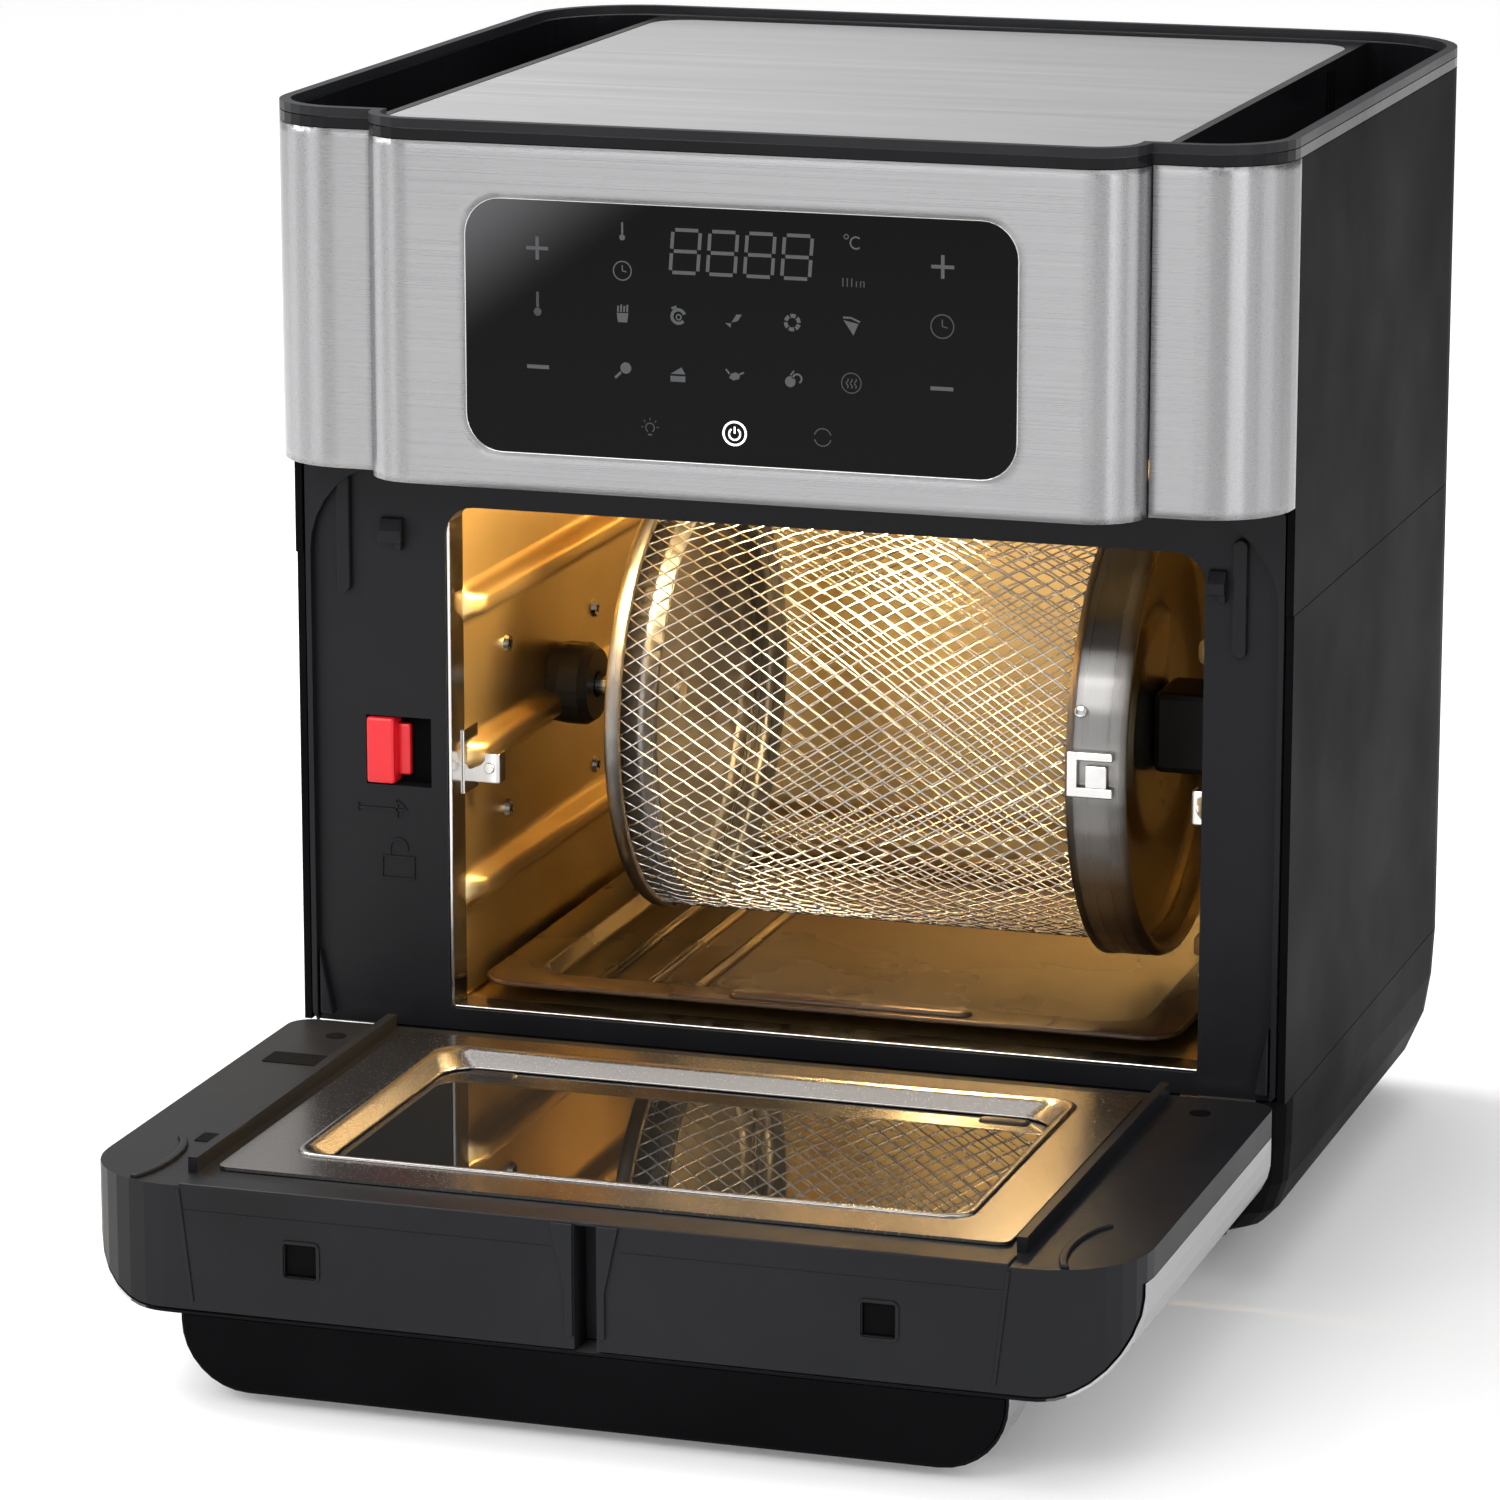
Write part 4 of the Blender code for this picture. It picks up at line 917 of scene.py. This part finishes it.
def doorLoft(bm, rows):
    # rows hold (half width, far, near, z, radius)
    rings = []
    for half, far, near, z, r in rows:
        rings.append([bm.verts.new((x, y, z)) for x, y in roundRect(-half, far, half, near, r, 8)])
    for one, two in zip(rings, rings[1:] + rings[:1]):
        for k in range(len(one)):
            j = (k + 1) % len(one)
            bm.faces.new((one[k], one[j], two[j], two[k]))


window = {"half": 0.1060, "far": frontY + 0.106 - 0.2150, "near": frontY + 0.106 - 0.0890,
          "clipX": 0.0850, "clipHalf": 0.0085}
# each row: out from the hole's edge, up from the plate's face, corner radius
bevelRows = ((0.0012, 0.0003, 0.0082), (0.0004, 0.0008, 0.0080), (-0.0010, 0.0007, 0.0080),
             (-0.0026, -0.0006, 0.0090), (-0.0052, -0.0043, 0.0110), (-0.0058, -0.0047, 0.0110),
             (-0.0054, -0.0051, 0.0110), (-0.0022, -0.0013, 0.0090), (-0.0002, 0.0000, 0.0080),
             (0.0012, 0.0000, 0.0082))
bevelRing = bmesh.new()
rows = []
for out, up, r in bevelRows:
    rows.append((window["half"] + out, window["far"] - out, window["near"] + out, doorHigh.z + up, r))
doorLoft(bevelRing, rows)
place("windowBevel", bevelRing, "doorSteel", "door", "plate_steel", True)

clips = bmesh.new()
for sign in (-1, 1):
    x = sign * window["clipX"]
    softBar(clips, x - window["clipHalf"], window["near"] - 0.0125, x + window["clipHalf"],
            window["near"] - 0.0070, doorHigh.z - 0.0060, 0.0016, 0.0020)
place("windowClips", clips, "frame", "door", "frame_plastic", True)

# openings in the door's inner face, drawn as flush near-black patches of painted shade: outlines in X and Y
holes = []
for sign in (-1, 1):
    holes.append(ringPoints(sign * 0.1440, nearY - 0.0170, 0.0034, 20))
    holes.append(ringPoints(sign * 0.1090, farY + 0.0080, 0.0022, 16))
holes.append(roundRect(-0.1560, nearY - 0.0520, -0.1375, nearY - 0.0400, 0.0008, 2))
holes.append(roundRect(-0.1425, nearY - 0.1400, -0.1355, nearY - 0.1310, 0.0006, 2))
hollows = bmesh.new()
for loop in holes:
    addPrism(hollows, loop, "Z", faceZ - 0.0004, faceZ + 0.0002)
place("doorHollows", hollows, "hollow", "door", "frame_plastic")

# a curved rib at each side, and the raised band along the latch edge
doorRib = {"x": 0.1500, "bow": 0.0090, "reach": 0.0240, "middle": 0.0230, "half": 0.0013, "up": 0.0011,
           "bandHalf": 0.1290, "bandWidth": 0.0092, "bandUp": 0.0008, "sink": 0.0003}
doorRibs = bmesh.new()
for sign in (-1, 1):
    inner, outer = [], []
    for degrees in range(-55, 80, 9):
        angle = math.radians(degrees)
        x = sign * (doorRib["x"] - doorRib["bow"] * math.cos(angle))
        y = farY + doorRib["middle"] + doorRib["reach"] * math.sin(angle)
        inner.append((x - sign * doorRib["half"], y))
        outer.append((x + sign * doorRib["half"], y))
    addPrism(doorRibs, inner + outer[::-1], "Z", faceZ - doorRib["sink"], faceZ + doorRib["up"])
half, edge = doorRib["bandHalf"], farY - 0.0001
bandFar = farY + doorRib["bandWidth"]
bandLoop = [(-half, edge), (-half, bandFar), (half, bandFar), (half, edge)]
addPrism(doorRibs, bandLoop, "Z", faceZ - doorRib["sink"], faceZ + doorRib["bandUp"])
place("doorRibs", doorRibs, "frame", "door", "frame_plastic", False, 0.0005)

# the latch edge: a slot between two cheeks, collars round the magnets and fine moulding lines
latchEdge = {"slot": 0.0038, "cheekTop": 0.0105, "cheek": 0.0062, "bend": 0.0200, "foot": 0.0345,
             "magnetGap": 0.0012, "lineZ": 0.0075, "blockTop": 0.1290, "blockFoot": 0.1250}
funnel = bmesh.new()
for sign in (-1, 1):
    loop = [(sign * latchEdge["slot"], faceZ + 0.0002), (sign * latchEdge["cheekTop"], faceZ + 0.0002),
            (sign * latchEdge["cheek"], faceZ - latchEdge["bend"]),
            (sign * latchEdge["cheek"], faceZ - latchEdge["foot"]),
            (sign * latchEdge["slot"], faceZ - latchEdge["foot"])]
    addPrism(funnel, loop, "Y", farY - 0.0011, farY + 0.0003)
for sign in (-1, 1):
    low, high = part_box("latch_magnet_left" if sign < 0 else "latch_magnet_right")
    gap = latchEdge["magnetGap"]
    loop = roundRect(low.x - gap, low.z - gap, high.x + gap, high.z + gap, 0.0016, 4)
    addStrip(funnel, loop, 0.0010, farY - 0.0006, farY + 0.0003, True)
    side = [(sign * latchEdge["blockTop"], faceZ - 0.0010), (sign * latchEdge["blockFoot"], faceZ - 0.0360)]
    addStrip(funnel, side, 0.0012, farY - 0.0006, farY + 0.0003)
lineZ = faceZ - latchEdge["lineZ"]
for x0, x1 in ((-0.1280, -0.0110), (0.0110, 0.1280)):
    addStrip(funnel, [(x0, lineZ), (x1, lineZ)], 0.0006, farY - 0.0003, farY + 0.0003)
place("latchFunnel", funnel, "frame", "door", "frame_plastic", False, 0.0005)
print("door done")


# vent slots in the raised middle of the top, in a front and a rear group on each side, drawn as thin
# near-black slabs of painted shade
topVent = {"x": 0.1275, "half": 0.00025, "groups": ((0.0450, 5), (0.2440, 3)), "pitch": 0.0046,
           "width": 0.0019, "low": 0.3492, "high": 0.3640}
vents = bmesh.new()
for sign in (-1, 1):
    for start, count in topVent["groups"]:
        for k in range(count):
            x, y = sign * topVent["x"], frontY + start + topVent["pitch"] * k
            addBox(vents, (x - topVent["half"], y, topVent["low"]),
                   (x + topVent["half"], y + topVent["width"], topVent["high"]))
place("topVents", vents, "hollow", "oven", "gloss_cover")

rearY = frontY + 0.311
backVent = {"rows": 3, "columns": 17, "start": -0.0860, "pitch": 0.0108, "half": 0.0016, "low": 0.2850,
            "rise": 0.0180, "rowPitch": 0.0240, "radius": 0.0015}
# the back vents are flat near-black patches: painted shade for the openings
backVents = bmesh.new()
for row in range(backVent["rows"]):
    for k in range(backVent["columns"]):
        x = backVent["start"] + backVent["pitch"] * k
        z = backVent["low"] + row * backVent["rowPitch"]
        loop = roundRect(x - backVent["half"], z, x + backVent["half"], z + backVent["rise"],
                         backVent["radius"], 4)
        addPrism(backVents, loop, "Y", rearY - 0.0003, rearY + 0.0002)
place("backVents", backVents, "hollow", "oven", "black_shell")
backScrews = bmesh.new()
for x in (-0.1150, 0.1150):
    for z in (0.0850, 0.2080, 0.2350, 0.3480):
        addPrism(backScrews, ringPoints(x, z, 0.0032, 18), "Y", rearY - 0.0003, rearY + 0.0009)
place("backScrews", backScrews, "chrome", "oven", "polished_steel", False, 0.0004)
print("top and back done")

# stage, light and camera
studio = {"floor": 6.0, "world": 0.85, "key": 30.0, "fill": 5.0, "top": 14.0, "cavity": 1.7,
          "nearGlow": 0.10, "farGlow": 0.32}

floorMesh = bmesh.new()
bmesh.ops.create_grid(floorMesh, x_segments=1, y_segments=1, size=studio["floor"])
floorData = bpy.data.meshes.new("floor")
floorMesh.to_mesh(floorData)
floorMesh.free()
floor = bpy.data.objects.new("floor", floorData)
floor.location.z = -0.0003
bpy.context.scene.collection.objects.link(floor)
floorLook = {"Base Color": (0.88, 0.88, 0.88, 1), "Roughness": 0.8, "Specular IOR Level": 0.1,
             "Emission Color": (1, 1, 1, 1)}
floorMat, floorTree, floorShader = newMat("paleFloor", floorLook)
floorPlace = addNode(floorTree, "ShaderNodeTexCoord")
floorReach = addNode(floorTree, "ShaderNodeVectorMath", operation="LENGTH")
floorTree.links.new(floorPlace.outputs["Object"], floorReach.inputs[0])
glow = spread(floorTree, floorReach.outputs["Value"], studio["nearGlow"], studio["farGlow"], 0.30, 1.50,
              "SMOOTHSTEP")
floorTree.links.new(glow, floorShader.inputs["Emission Strength"])
floorData.materials.append(floorMat)

# light and dark strips stand round the room, so that the steel corners show bands
world = bpy.data.worlds.new("studio")
world.use_nodes = True
wt = world.node_tree
background = wt.nodes["Background"]
direction = addNode(wt, "ShaderNodeTexCoord")
parts = addNode(wt, "ShaderNodeSeparateXYZ")
around = addNode(wt, "ShaderNodeMath", operation="ARCTAN2")
ramp = addNode(wt, "ShaderNodeValToRGB")
wt.links.new(direction.outputs["Generated"], parts.inputs[0])
wt.links.new(parts.outputs["X"], around.inputs[0])
wt.links.new(parts.outputs["Y"], around.inputs[1])
wt.links.new(spread(wt, around.outputs[0], 0.0, 1.0, -math.pi, math.pi), ramp.inputs[0])
strips = ((0.00, 1.00), (0.05, 1.00), (0.10, 0.00), (0.15, 2.8), (0.20, 0.00), (0.26, 2.6), (0.32, 0.05),
          (0.40, 0.9), (0.50, 0.05), (0.62, 0.05), (0.67, 0.00), (0.74, 2.6), (0.80, 0.00), (0.86, 2.4),
          (0.92, 0.20), (1.00, 1.00))
while len(ramp.color_ramp.elements) < len(strips):
    ramp.color_ramp.elements.new(0.5)
for stop, (where, level) in zip(ramp.color_ramp.elements, strips):
    stop.position = where
    stop.color = (level, level, level, 1)
wt.links.new(ramp.outputs[0], background.inputs[0])
background.inputs[1].default_value = studio["world"]
white = addNode(wt, "ShaderNodeBackground")
white.inputs[0].default_value = (1, 1, 1, 1)
white.inputs[1].default_value = 1.0
path = addNode(wt, "ShaderNodeLightPath")
choose = addNode(wt, "ShaderNodeMixShader")
wt.links.new(path.outputs["Is Camera Ray"], choose.inputs[0])
wt.links.new(background.outputs[0], choose.inputs[1])
wt.links.new(white.outputs[0], choose.inputs[2])
wt.links.new(choose.outputs[0], wt.nodes["World Output"].inputs[0])
bpy.context.scene.world = world


def softbox(name, where, target, size, power, colour=(1, 1, 1)):
    light = bpy.data.lights.new(name, "AREA")
    light.shape = "RECTANGLE"
    light.size, light.size_y = size
    light.energy = power
    light.color = colour
    obj = bpy.data.objects.new(name, light)
    obj.location = where
    obj.rotation_euler = (Vector(target) - Vector(where)).to_track_quat("-Z", "Y").to_euler()
    obj.visible_camera = False
    bpy.context.scene.collection.objects.link(obj)
    return obj


softbox("keyLeft", (-1.3, 0.5, 1.7), (0, 0, 0.1), (0.9, 0.9), studio["key"])
softbox("frontSoft", (-0.5, -1.9, 1.5), (0, 0, 0.2), (1.2, 0.8), studio["key"] * 0.5)
softbox("fillRight", (1.5, -1.2, 0.9), (0, 0, 0.2), (0.7, 1.2), studio["fill"])
softbox("topSoft", (0.1, 0.3, 1.9), (0, 0, 0.2), (1.4, 1.4), studio["top"])
softbox("cavityLamp", (0.010, frontY + 0.092, 0.2460), (-0.10, frontY + 0.14, 0.13), (0.06, 0.02),
        studio["cavity"], (1.0, 0.66, 0.28))
softbox("cavityBack", (0.020, frontY + 0.255, 0.2440), (-0.02, frontY + 0.245, 0.10), (0.14, 0.02),
        studio["cavity"] * 0.18, (1.0, 0.76, 0.44))

view = {"yaw": 17.84, "pitch": 13.27, "distance": 2.061, "right": -0.0225, "up": -0.0260, "focus": 6388.0}
yaw, pitch = math.radians(view["yaw"]), math.radians(view["pitch"])
forward = Vector((-math.sin(yaw) * math.cos(pitch), math.cos(yaw) * math.cos(pitch), -math.sin(pitch)))
rightward = Vector((math.cos(yaw), math.sin(yaw), 0))
upward = rightward.cross(forward)
camData = bpy.data.cameras.new("camera")
camData.lens = view["focus"] / 1500 * 36
camData.sensor_width = 36
camera = bpy.data.objects.new("camera", camData)
spot = Vector((0, 0, 0.185)) - forward * view["distance"] + rightward * view["right"] + upward * view["up"]
turn = Matrix((rightward, upward, -forward)).transposed().to_4x4()
turn.translation = spot
camera.matrix_world = turn
bpy.context.scene.collection.objects.link(camera)
bpy.context.scene.camera = camera
bpy.context.scene.view_settings.view_transform = "Standard"
